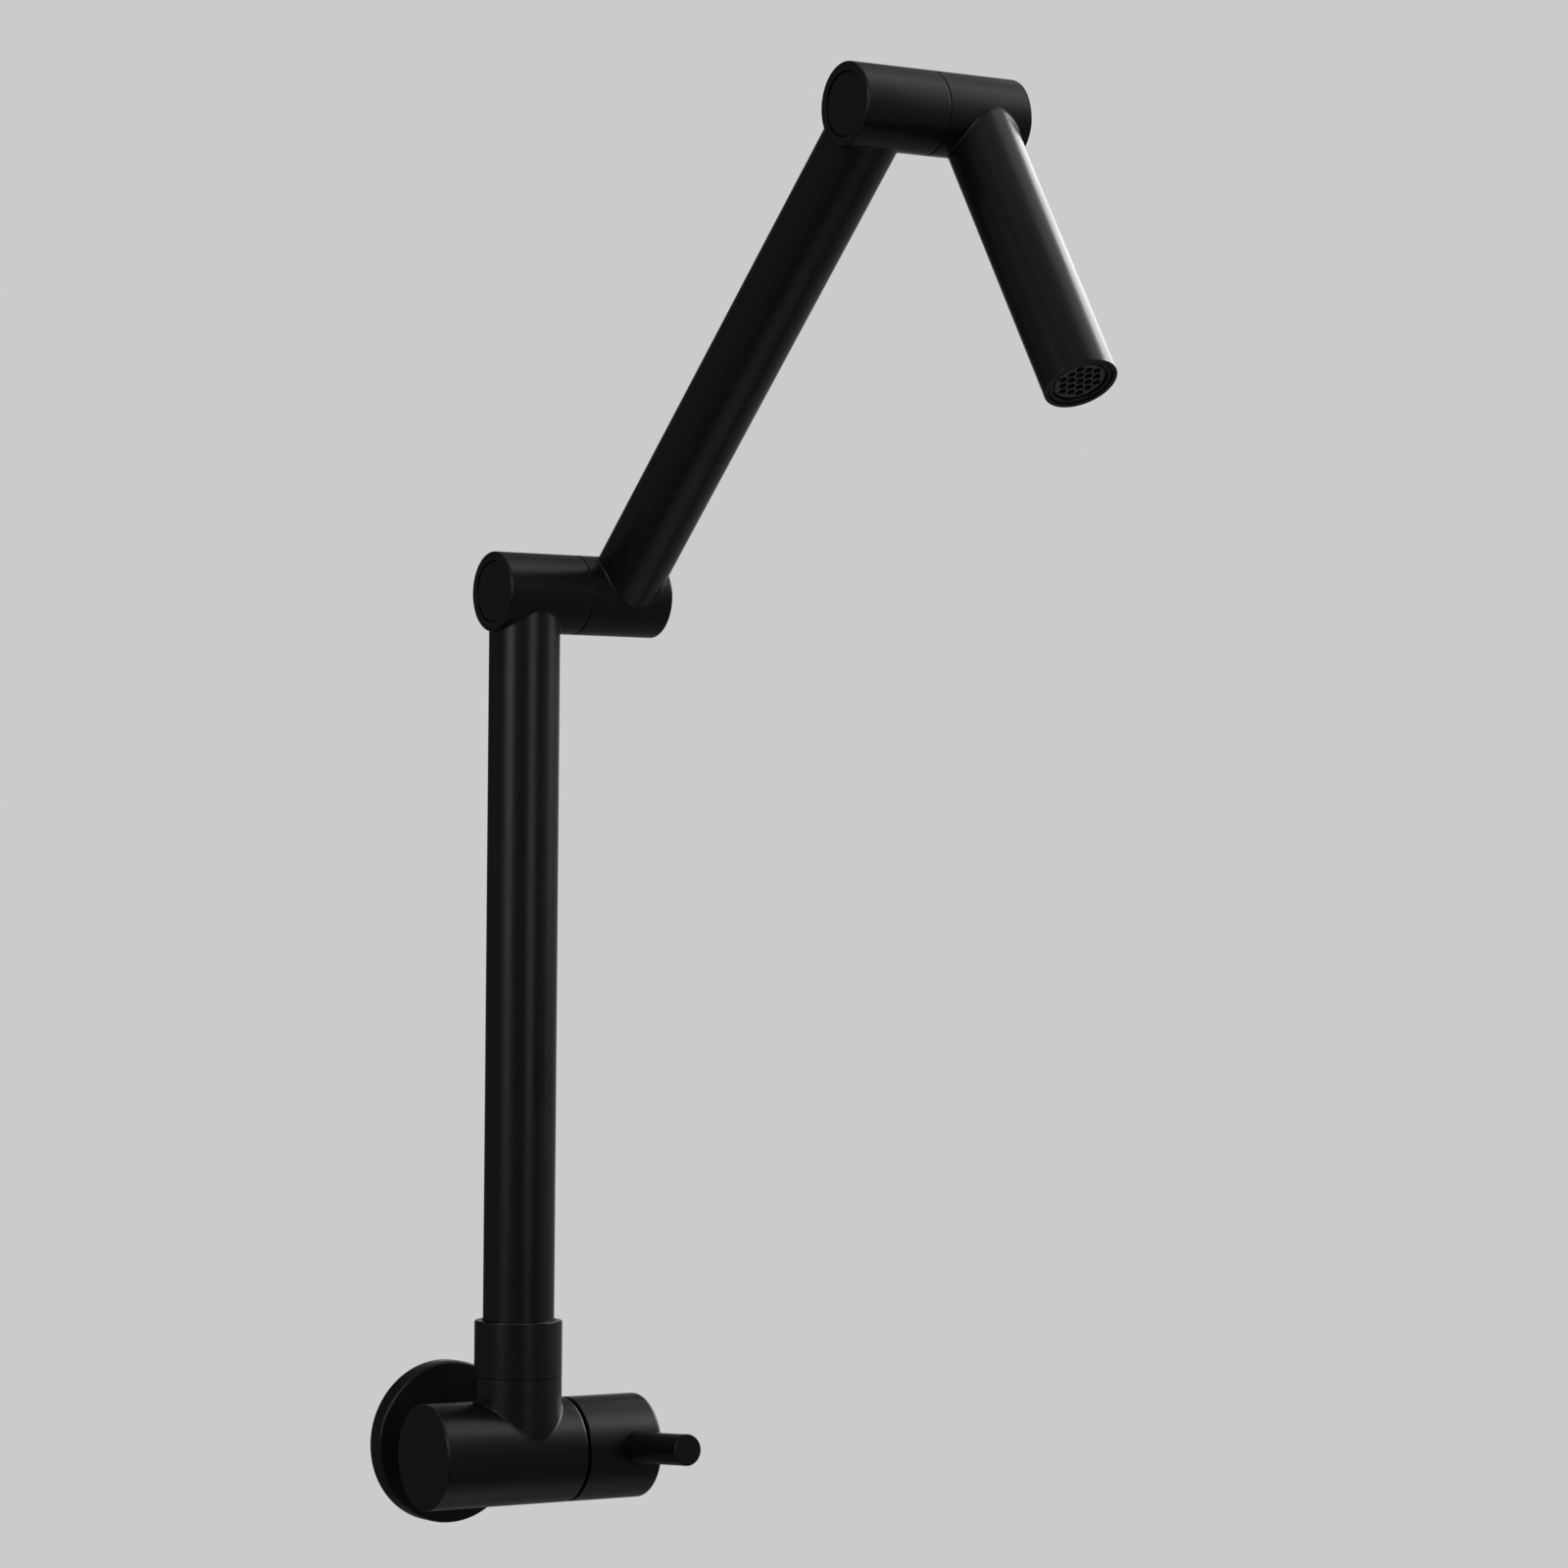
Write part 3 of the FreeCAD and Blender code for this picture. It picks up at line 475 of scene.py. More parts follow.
# Finishes.
class Board:
    """Node tree that is being filled."""

    def __init__(self, tree: NodeTree) -> None:
        """Takes a tree."""
        self.tree = tree

    def fill(self, node: Node, *values: object, **named: object) -> Node:
        """Sets a node's inputs to values, or joins them to other nodes' outputs.

        Args:
            node: The node.
            values: What its first inputs take, in order.
            named: What other inputs take by name, with underscores for spaces.

        Returns:
            The same node.
        """
        wanted = {name.replace("_", " "): value for name, value in named.items()}
        for key, value in (dict(enumerate(values)) | wanted).items():
            if isinstance(value, NodeSocket):
                self.tree.links.new(value, node.inputs[key])
            else:
                node.inputs[key].default_value = value
        return node

    def add(self, kind: str, *values: object, **named: object) -> Node:
        """Adds a node, given its type without the prefix, and fills its inputs."""
        return self.fill(self.tree.nodes.new(f"ShaderNode{kind}"), *values, **named)

    def worked(self, kind: str, operation: str, *values: object) -> NodeSocket:
        """Works out a number with a node for sums.

        Args:
            kind: The node's type, Math or VectorMath.
            operation: The operation's name.
            values: What it works on.

        Returns:
            The number.
        """
        node = self.add(kind, *values)
        node.operation = operation
        return node.outputs["Value"]


class NodeBench(Board):
    """Node tree of one material, with its patterns on the object's coordinates."""

    factors = (0.3, 0.7)

    def __init__(self, name: str) -> None:
        """Starts a material.

        Args:
            name: The material's name.
        """
        self.material = bpy.data.materials.new(name)
        self.material.use_nodes = True
        super().__init__(self.material.node_tree)
        self.place = self.add("TexCoord").outputs["Object"]

    def noise(
        self, scale: float, detail: float = 2.0, roughness: float = 0.5, stretch: Optional[Triple] = None
    ) -> NodeSocket:
        """Noise on the object's coordinates.

        Args:
            scale: Cells to the metre.
            detail: Octaves.
            roughness: Strength of the finer octaves.
            stretch: Scale of each coordinate before the noise.

        Returns:
            The noise's factor.
        """
        place = self.place
        if stretch is not None:
            place = self.add("Mapping", Vector=place, Scale=stretch).outputs["Vector"]
        node = self.add("TexNoise", Vector=place, Scale=scale, Detail=detail, Roughness=roughness)
        return node.outputs["Fac"]

    def ranged(self, factor: NodeSocket, low_value: float, high_value: float) -> NodeSocket:
        """Maps the middle of a noise factor's range to a range of values."""
        return self.add("MapRange", factor, *self.factors, low_value, high_value).outputs["Result"]

    def ramp(self, factor: NodeSocket, dark: Triple, light: Triple) -> NodeSocket:
        """Maps the middle of a noise factor's range to the colours between two.

        Args:
            factor: The factor.
            dark: Colour of the low factors.
            light: Colour of the high factors.

        Returns:
            The colour.
        """
        node = self.add("ValToRGB", factor)
        for end, place, colour in zip(node.color_ramp.elements, self.factors, (dark, light)):
            end.position = place
            end.color = (*colour, 1)
        return node.outputs["Color"]

    def bump(self, height: NodeSocket, rise: float, **below: NodeSocket) -> NodeSocket:
        """Normal of a small relief this many metres high, over a coarser one if its Normal is given."""
        return self.add("Bump", Height=height, Distance=rise, **below).outputs["Normal"]

    def finished(self, **inputs: object) -> Material:
        """Fills the inputs of the material's surface shader and gives the material."""
        self.fill(self.tree.nodes["Principled BSDF"], **inputs)
        return self.material


class Finish(ABC):
    """What every finish has: its name, the record's slot that it belongs to and its material."""

    name: str
    slot: str

    @abstractmethod
    def material(self) -> Material:
        """Builds the finish's material."""


@dataclass(frozen=True)
class Coating(Finish):
    """Satin black coating: fine specks and a faint orange peel, under broad clouds of gloss."""

    name: str = "satin_black_coating"
    slot: str = "matte_black"
    deep: Triple = (0.0025, 0.0026, 0.0028)
    pale: Triple = (0.0040, 0.0041, 0.0044)
    low_roughness: float = 0.27
    high_roughness: float = 0.33
    level: float = 0.2
    # Painted light: this cool specular tint paints the bluish colour of the window light into the coating's
    # highlights, because the lamps are kept white.
    cool_light_tint: Colour = (0.88, 0.92, 1.0, 1.0)
    clouds: float = 38.0
    specks: float = 2600.0
    speck_rise: float = 0.0012 * MM
    peel: float = 620.0
    peel_rise: float = 0.004 * MM

    def material(self) -> Material:
        """Builds the finish's material.

        Returns:
            The material.
        """
        bench = NodeBench(self.name)
        speck = bench.noise(self.specks, detail=1.0)
        cloud = bench.noise(self.clouds, detail=3.0, roughness=0.55)
        peel = bench.bump(bench.noise(self.peel), self.peel_rise)
        return bench.finished(
            Base_Color=bench.ramp(speck, self.deep, self.pale),
            Roughness=bench.ranged(cloud, self.low_roughness, self.high_roughness),
            Normal=bench.bump(speck, self.speck_rise, Normal=peel),
            Specular_IOR_Level=self.level,
            # The cool tint paints the window light's colour into every reflection on the coating.
            Specular_Tint=self.cool_light_tint,
        )


@dataclass(frozen=True)
class Metal(Finish):
    """Bare metal with the fine lines that turning leaves."""

    name: str
    slot: str
    dark: Triple
    light: Triple
    roughness: float
    facing: Facing = Facing.ALONG_X
    lines: float = 5200.0
    line_rise: float = 0.003 * MM
    stains: float = 120.0
    low_share: float = 0.8
    high_share: float = 1.3

    def material(self) -> Material:
        """Builds the finish's material.

        Returns:
            The material.
        """
        bench = NodeBench(self.name)
        line = bench.noise(self.lines, stretch=self.facing.value)
        return bench.finished(
            Base_Color=bench.ramp(bench.noise(self.stains, detail=3.0), self.dark, self.light),
            Roughness=bench.ranged(line, self.roughness * self.low_share, self.roughness * self.high_share),
            Normal=bench.bump(line, self.line_rise),
            Metallic=1.0,
        )


@dataclass(frozen=True)
class Compound(Finish):
    """Rubber, foam, plastic or ceramic: a dull body colour with a fine grain."""

    name: str
    slot: str
    dark: Triple
    light: Triple
    roughness: float
    grains: float
    rise: float
    level: float = 0.5
    grains_per_cloud: float = 12
    low_share: float = 0.9
    high_share: float = 1.1

    def material(self) -> Material:
        """Builds the finish's material.

        Returns:
            The material.
        """
        bench = NodeBench(self.name)
        grain = bench.noise(self.grains, detail=3.0, roughness=0.6)
        cloud = bench.noise(self.grains / self.grains_per_cloud)
        return bench.finished(
            Base_Color=bench.ramp(grain, self.dark, self.light),
            Roughness=bench.ranged(cloud, self.roughness * self.low_share, self.roughness * self.high_share),
            Normal=bench.bump(grain, self.rise),
            Specular_IOR_Level=self.level,
        )


BRASS = ("brass", (0.52, 0.36, 0.15), (0.66, 0.48, 0.22))
STEEL = ("steel", (0.44, 0.44, 0.43), (0.56, 0.56, 0.55))
RUBBER = ("rubber", (0.012, 0.012, 0.012), (0.022, 0.022, 0.022))
FOAM = ("rubber", (0.018, 0.018, 0.019), (0.055, 0.055, 0.057))
CERAMIC = ("ceramic", (0.78, 0.77, 0.74), (0.83, 0.82, 0.79))
SLIP = ("slip_plastic", (0.70, 0.70, 0.67), (0.78, 0.78, 0.75))
PLASTIC = ("black_plastic", (0.010, 0.010, 0.011), (0.016, 0.016, 0.017))


@dataclass
class Finishes:
    """All finishes of the tap, each made once."""

    coating: Coating = Coating()
    brass: Metal = Metal("turned_brass", *BRASS, 0.26)
    upright_brass: Metal = Metal("upright_brass", *BRASS, 0.26, Facing.ALONG_Z)
    inlet_brass: Metal = Metal("inlet_brass", *BRASS, 0.24, Facing.ALONG_Y)
    steel: Metal = Metal("stainless_steel", *STEEL, 0.24)
    rubber: Compound = Compound("black_rubber", *RUBBER, 0.62, 1800.0, 0.004 * MM, 0.3)
    foam: Compound = Compound("foam_gasket", *FOAM, 0.92, 1500.0, 0.12 * MM, 0.2)
    ceramic: Compound = Compound("white_ceramic", *CERAMIC, 0.16, 900.0, 0.0006 * MM)
    slip: Compound = Compound("slip_plastic", *SLIP, 0.44, 1100.0, 0.003 * MM)
    plastic: Compound = Compound("black_plastic", *PLASTIC, 0.36, 1400.0, 0.003 * MM)
    made: dict[str, Material] = field(default_factory=dict)

    def dress(self, piece: Object, finish: Finish) -> None:
        """Gives a piece its finish.

        Args:
            piece: The piece or CAD node.
            finish: The finish to give it.
        """
        if finish.name not in self.made:
            self.made[finish.name] = finish.material()
        piece.data.materials.clear()
        piece.data.materials.append(self.made[finish.name])


@dataclass
class SubAssembly:
    """What every sub-assembly shares: the layout, the finishes and the way a piece is handed over."""

    layout: Layout
    finishes: Finishes
    body: Body = Body.VALVE_BASE

    def hand_over(
        self, piece: Object, node: str, finish: Optional[Finish] = None, body: Optional[Body] = None
    ) -> None:
        """Dresses a finished piece, lets it ride its body and hides the CAD node that it stands for.

        Args:
            piece: The finished piece.
            node: The CAD node that it replaces.
            finish: Its finish, or none for the coating.
            body: The body that it moves with, or none for the sub-assembly's own.
        """
        body = body or self.body
        self.finishes.dress(piece, finish or self.finishes.coating)
        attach(piece, body.value)
        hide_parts(node)
        log.info("%s: %d faces on %s", piece.name, len(piece.data.polygons), body.value)

    def dress_nodes(self, finish: Finish, *nodes: str) -> None:
        """Gives carried-over CAD nodes their finish."""
        for node in nodes:
            self.finishes.dress(frame["nodes"][node], finish)


@dataclass
class SaddledPipe:
    """Tube brazed onto a barrel: its foot, and its head if it has a second barrel, are shaped to fit."""

    name: str
    foot: Vector
    lean: float
    length: float
    radius: float = 12.5 * MM
    bore: float = 11.0 * MM
    barrel_radius: float = 14.1 * MM
    aside: float = 0.0
    head: bool = False
    rim: Rows = ()
    fillet: float = 0.5 * MM
    fillet_steps: int = 5
    sunk: float = 0.03 * MM
    buried: float = 0.5 * MM
    spacing: float = 1.0 * MM
    sides: int = Sides.TUBE

    def end(self, seat: Seat) -> list[Ring]:
        """Rings of a seated end: the buried bore, then the braze fillet from the barrel to the tube's wall.

        Args:
            seat: Which end it is.

        Returns:
            The rings, drawn clear of the barrel.
        """
        rows = [(-self.buried, self.bore)]
        for step in range(self.fillet_steps + 1):
            angle = math.pi / 2 * (1 - step / self.fillet_steps)
            height = self.fillet * (1 - math.sin(angle)) - (0.0 if step else self.sunk)
            rows.append((height, self.radius + self.fillet * (1 - math.cos(angle))))
        rings = []
        for index, (height, radius) in enumerate(rows):
            clear = self.barrel_radius + self.spacing * (index + 1)
            if seat is Seat.HEAD:
                clear, height = self.length - clear, -height
            rings.append(Ring(clear, radius, seat=seat, rise=height))
        return rings

    def seat_on(self, piece: Object, seat: Seat) -> None:
        """Drops the rings of one end onto their barrel.

        Args:
            piece: The tube on the bench.
            seat: The end to seat.
        """
        height = self.length if seat is Seat.HEAD else 0.0
        axis = Axis(Vector((0, self.aside, height)), RIGHT)
        barrel = rod(axis, self.barrel_radius, -2 * self.radius, 2 * self.radius, Sides.BARREL_FORM)
        modified(
            piece, "SHRINKWRAP", wrap_method="PROJECT", use_project_z=True, target=barrel,
            use_negative_direction=seat is Seat.FOOT, use_positive_direction=seat is Seat.HEAD,
            vertex_group=seat.value)
        bpy.data.objects.remove(barrel)

    def build(self) -> Object:
        """Draws the tube on the bench, seats it and lays it in place.

        Returns:
            The tube.
        """
        rings = self.end(Seat.FOOT)
        if self.head:
            rings += reversed(self.end(Seat.HEAD))
        else:
            plain = (self.length, self.radius), (self.length, self.bore)
            rings += [Ring(*row) for row in self.rim or plain]
        piece = ringed(self.name, BENCH, rings, True, self.sides)
        for seat in (Seat.FOOT, Seat.HEAD) if self.head else (Seat.FOOT,):
            self.seat_on(piece, seat)
        edit(piece, "VERT")
        for index, ring in enumerate(rings):
            if ring.seat is Seat.FREE:
                continue
            bpy.ops.mesh.select_all(action="DESELECT")
            piece.vertex_groups.active_index = piece.vertex_groups[f"ring_{index}"].index
            bpy.ops.object.vertex_group_select()
            bpy.ops.transform.translate(value=(0, 0, ring.rise))
        close_up()
        take(piece)
        bpy.ops.object.vertex_group_remove(all=True)
        piece.rotation_euler = (self.lean, 0, 0)
        piece.location = self.foot
        return smooth(settled(self.name))


@dataclass
class WallSide(SubAssembly):
    """Flange on the wall with its gasket and grip ring, and the threaded inlet behind it."""

    flange_radius: float = 28.8 * MM
    flange_depth: float = 7.4 * MM
    flange_wall: float = 1.8 * MM
    flange_round: float = 1.0 * MM
    flange_hole: float = 12.65 * MM
    fine_edge: float = 0.2 * MM
    gasket_width: float = 3.0 * MM
    grip_radius: float = 1.1 * MM
    grip_flat: float = 0.4
    neck_radius: float = 12.5 * MM
    thread_radius: float = 10.48 * MM
    thread_depth: float = 1.16 * MM
    thread_pitch: float = 1.814 * MM
    thread_turns: int = 7
    thread_steps: int = 64
    thread_lead: float = 0.45 * MM
    thread_sharp: float = 25.0
    crest_share: float = 0.16
    foot_share: float = 0.92
    groove_radius: float = 9.6 * MM
    groove_length: float = 1.0 * MM
    mouth_radius: float = 8.0 * MM
    mouth_depth: float = 2.0 * MM
    key_flats: float = 12.0 * MM
    strainer_thickness: float = 1.2 * MM
    strainer_hole: float = 0.75 * MM
    strainer_pitch: float = 2.35 * MM

    def flange(self) -> None:
        """Shallow cup with a rounded front edge, and the foam ring behind its rim."""
        outer, front, hole, edge = self.flange_radius, self.flange_depth, self.flange_hole, self.fine_edge
        inner = outer - self.flange_wall
        floor = front - self.flange_wall
        cup = turned("flange_cup", TO_ROOM, (
            (0, inner, edge, 2), (0, outer, edge, 2), (front, outer, self.flange_round),
            (front, hole, edge, 2), (floor, hole), (floor, inner, 2 * edge, 3),
        ), True, Sides.FLANGE)
        self.hand_over(cup, "wall_flange")
        foam_hole = inner - self.gasket_width
        foam = turned("flange_foam", TO_ROOM, (
            (0, foam_hole, 2 * edge), (0, inner, 2 * edge), (floor, inner), (floor, foam_hole),
        ), True)
        self.hand_over(foam, "flange_gasket", self.finishes.foam)

    def grip_ring(self) -> None:
        """Round rubber ring on the neck, inside the flange."""
        object_mode()
        middle = TO_ROOM.at(self.flange_depth - self.flange_wall - self.grip_radius)
        bpy.ops.mesh.primitive_torus_add(
            location=middle, rotation=TO_ROOM.turn(), major_radius=self.neck_radius + self.grip_radius,
            minor_radius=self.grip_radius, major_segments=Sides.ROD, minor_segments=Sides.CORD)
        piece = settled("neck_grip_ring")
        bpy.ops.object.mode_set(mode="EDIT")
        inner = self.neck_radius + self.grip_radius / 4
        pick_edges(piece, lambda point: TO_ROOM.place_of(point)[1] < inner)
        bpy.ops.transform.resize(value=(1, self.grip_flat, 1), center_override=middle)
        close_up()
        self.hand_over(smooth(piece), "flange_grip_ring", self.finishes.rubber)

    def nipple(self) -> None:
        """Body of the inlet nipple, down to the thread's root, with its hexagonal bore."""
        start, stop = low("inlet_nipple").y, high("inlet_nipple").y
        groove = high("valve_body").y
        shoulder = groove + self.groove_length
        root = self.thread_radius - self.thread_depth
        mouth, edge = self.mouth_radius, self.fine_edge
        core = turned("inlet_core", TO_WALL, (
            (start, self.thread_radius), (groove, self.thread_radius), (groove, self.groove_radius),
            (shoulder, self.groove_radius), (shoulder, root), (stop, root, edge, 2), (stop, mouth, edge, 2),
            (stop - self.mouth_depth, mouth),
        ))
        cut(core, rod(TO_WALL, corner_radius(self.key_flats), 2 * start, 2 * stop, Sides.HEXAGON))
        self.hand_over(smooth(core), "inlet_nipple", self.finishes.inlet_brass)

    def thread(self) -> None:
        """Helical ridge of the pipe thread, with its ends run out into the root."""
        half = self.thread_pitch / 2
        root = self.thread_radius - self.thread_depth
        height = high("valve_body").y + self.groove_length + self.thread_lead + half
        object_mode()
        bpy.ops.mesh.primitive_plane_add(
            size=self.thread_pitch, location=(root, 0, height), rotation=(math.pi / 2, 0, 0))
        piece = settled("inlet_thread")
        edit(piece, "EDGE")
        crest = (1, self.thread_depth - half, self.crest_share)
        foot = (-1, half - self.fine_edge, self.foot_share)
        for side, shift, share in (crest, foot):
            pick_edges(piece, lambda point: (point.x - root) * side > 0)
            bpy.ops.transform.translate(value=(shift, 0, 0))
            bpy.ops.transform.resize(value=(1, 1, share), center_override=(self.thread_radius, 0, height))
        bpy.ops.mesh.select_all(action="SELECT")
        bpy.ops.mesh.delete(type="ONLY_FACE")
        modified(
            piece, "SCREW", axis="Z", screw_offset=self.thread_pitch, iterations=self.thread_turns,
            steps=self.thread_steps, render_steps=self.thread_steps)
        edit(piece, "EDGE")
        bpy.ops.mesh.select_non_manifold()
        bpy.ops.mesh.edge_face_add()
        close_up()
        take(piece)
        piece.rotation_euler = (-math.pi / 2, 0, 0)
        ridge = smooth(settled("inlet_thread"), self.thread_sharp)
        self.hand_over(ridge, "inlet_nipple", self.finishes.inlet_brass)

    def strainer(self) -> None:
        """Perforated disc in the nipple's mouth."""
        start, radius = low("inlet_strainer").y, self.mouth_radius - self.fine_edge / 4
        front = start + self.strainer_thickness
        piece = turned("inlet_sieve", TO_WALL, ((start, radius), (front, radius, self.fine_edge, 2)))
        hole = rod(TO_WALL, self.strainer_hole, 0, 2 * start, Sides.PINHOLE)
        perforated(piece, hole, UPRIGHT, self.strainer_pitch)
        self.hand_over(piece, "inlet_strainer", self.finishes.steel)

    def build(self) -> None:
        """Builds the pieces at the wall."""
        for make in (self.flange, self.grip_ring, self.nipple, self.thread, self.strainer):
            make()
        self.dress_nodes(self.finishes.rubber, "inlet_washer")


@dataclass
class ValveBody(SubAssembly):
    """Body with its neck and riser boss, and the collar that holds the riser."""

    body_radius: float = 18.4 * MM
    end_round: float = 0.9 * MM
    face_round: float = 0.9 * MM
    hub_gap: float = 1.0 * MM
    thread_bore: float = 11.5 * MM
    seal_seat: float = 13.35 * MM
    seal_seat_depth: float = 1.95 * MM
    neck_radius: float = 12.5 * MM
    neck_bore: float = 10.5 * MM
    boss_radius: float = 15.4 * MM
    boss_bore: float = 9.55 * MM
    boss_floor: float = 14.5 * MM
    thread_radius: float = 13.6 * MM
    collar_bore: float = 13.65 * MM
    collar_lip_bore: float = 12.9 * MM
    collar_lip: float = 5.0 * MM
    collar_chamfer: float = 0.6 * MM
    fine_edge: float = 0.28 * MM

    def riser_axis(self) -> Axis:
        """Upright line through the riser."""
        return Axis(Vector((self.layout.riser.x, self.layout.riser.y, 0)), UPRIGHT)

    def shell(self) -> None:
        """Horizontal body, bored from the right for the headwork and from above for the riser."""
        left, right = low("valve_body").x, low("handle_hub").x - self.hub_gap
        step = right - self.seal_seat_depth
        axis = Axis(Vector((0, self.layout.body.y, self.layout.body.z)), RIGHT)
        shell = turned("body_shell", axis, (
            (left, self.body_radius, self.end_round), (right, self.body_radius, self.face_round, 3),
            (right, self.seal_seat), (step, self.seal_seat), (step, self.thread_bore),
            (low("cartridge_seat_seal").x, self.thread_bore),
        ), sides=Sides.BODY)
        cut(shell, rod(self.riser_axis(), self.boss_bore, self.boss_floor, 2 * self.body_radius, Sides.ROD))
        self.hand_over(smooth(shell), "valve_body")

    def boss(self) -> None:
        """Boss for the riser, saddled on the body, with the thread for the collar above it."""
        shoulder, top = low("riser_collar").z, high("valve_body").z
        body, riser = self.layout.body, self.layout.riser
        rim = (
            (shoulder, self.boss_radius, self.fine_edge, 2), (shoulder, self.thread_radius),
            (top, self.thread_radius), (top, self.boss_bore),
        )
        boss = SaddledPipe(
            "riser_boss", foot=Vector((riser.x, riser.y, body.z)), lean=0.0, length=top,
            radius=self.boss_radius, bore=self.boss_bore, barrel_radius=self.body_radius,
            aside=body.y - riser.y, rim=rim, sides=Sides.BODY)
        self.hand_over(boss.build(), "valve_body")

    def neck(self) -> None:
        """Neck that runs from the body into the flange."""
        body = self.layout.body
        length = high("valve_body").y - body.y
        neck = SaddledPipe(
            "wall_neck", foot=Vector((0, body.y, body.z)), lean=-math.pi / 2, length=length,
            radius=self.neck_radius, bore=self.neck_bore, barrel_radius=self.body_radius,
            rim=((length, self.neck_radius, self.fine_edge, 2), (length, self.neck_bore)))
        self.hand_over(neck.build(), "valve_body")

    def collar(self) -> None:
        """Collar with its chamfered top, round the riser's foot."""
        foot, top = low("riser_collar").z, high("riser_collar").z
        lip = top - self.collar_lip
        collar = turned("collar_sleeve", self.riser_axis(), (
            (foot, self.collar_bore), (foot, self.boss_radius, self.fine_edge, 2),
            (top, self.boss_radius, self.collar_chamfer, 2), (top, self.collar_lip_bore, self.fine_edge, 2),
            (lip, self.collar_lip_bore), (lip, self.collar_bore),
        ), True, Sides.BODY)
        self.hand_over(collar, "riser_collar")

    def build(self) -> None:
        """Builds the valve body's pieces and dresses the headwork inside."""
        for make in (self.shell, self.boss, self.neck, self.collar):
            make()
        finishes = self.finishes
        self.dress_nodes(finishes.brass, "cartridge_housing", "cartridge_stem")
        self.dress_nodes(finishes.rubber, "housing_seal", "cartridge_seat_seal", "stem_seals", "spigot_seals")
        self.dress_nodes(finishes.ceramic, "ceramic_fixed_disc", "ceramic_turning_disc")
        self.dress_nodes(finishes.slip, "stem_washer", "riser_guide_ring", "riser_thrust_washer")
        self.dress_nodes(finishes.steel, "stem_clip")
        self.dress_nodes(finishes.upright_brass, "riser_spigot")


@dataclass
class Handle(SubAssembly):
    """Hub with its lever pin and grub screw."""

    body: Body = Body.HANDLE
    hub_radius: float = 18.4 * MM
    left_bevel: float = 0.5 * MM
    right_round: float = 1.3 * MM
    cavity_radius: float = 14.6 * MM
    cavity_depth: float = 6.9 * MM
    stem_bore: float = 4.05 * MM
    lever_radius: float = 5.5 * MM
    lever_from_end: float = 10.3 * MM
    lever_reach: float = 51.7 * MM
    lever_rise: float = math.radians(4.0)
    lever_chamfer: float = 0.7 * MM
    seat_depth: float = 1.6 * MM
    seat_play: float = 0.12 * MM
    stud_radius: float = 3.0 * MM
    stud_length: float = 6.0 * MM
    grub_from_left: float = 11.4 * MM
    grub_radius: float = 2.5 * MM
    grub_start: float = 4.0 * MM
    grub_length: float = 6.0 * MM
    key_flats: float = 2.5 * MM
    key_depth: float = 2.5 * MM

    def build(self) -> None:
        """Builds the hub with its cavity and holes, the pin with its chamfered tip and the socketed screw."""
        left, cavity, play = low("handle_hub").x, self.cavity_depth, self.seat_play
        length = high("handle_hub").x - left
        axis = Axis(Vector((left, self.layout.body.y, self.layout.body.z)), RIGHT)
        foot = axis.at(length - self.lever_from_end)
        lever = Axis(foot, Vector((0, -math.cos(self.lever_rise), math.sin(self.lever_rise))))
        down = Axis(axis.at(self.grub_from_left), -UPRIGHT)
        seat = self.hub_radius - self.seat_depth
        stud, beyond = seat - self.stud_length, 2 * self.hub_radius
        hub = turned("hub_shell", axis, (
            (2 * cavity, self.stem_bore), (cavity, self.stem_bore), (cavity, self.cavity_radius),
            (0, self.cavity_radius), (0, self.hub_radius, self.left_bevel, 2),
            (length, self.hub_radius, self.right_round),
        ), sides=Sides.BODY)
        cut(hub, rod(lever, self.lever_radius + play, seat, beyond, Sides.ROD))
        cut(hub, rod(lever, self.stud_radius + play / 2, stud, beyond))
        cut(hub, rod(down, self.grub_radius + play / 2, self.grub_start, beyond))
        self.hand_over(smooth(hub), "handle_hub")
        pin = turned("lever_rod", lever, (
            (stud, self.stud_radius), (seat, self.stud_radius), (seat, self.lever_radius, play, 1),
            (self.lever_reach, self.lever_radius, self.lever_chamfer, 2),
        ), sides=Sides.ROD)
        self.hand_over(pin, "lever_pin")
        stop = self.grub_start + self.grub_length
        grub = turned("hub_grub", down, (
            (self.grub_start, self.grub_radius, play, 1), (stop, self.grub_radius, 2 * play, 1),
        ), sides=Sides.SCREW)
        cut(grub, rod(down, corner_radius(self.key_flats), stop - self.key_depth, 2 * stop, Sides.HEXAGON))
        self.hand_over(smooth(grub), "handle_grub_screw", self.finishes.steel)


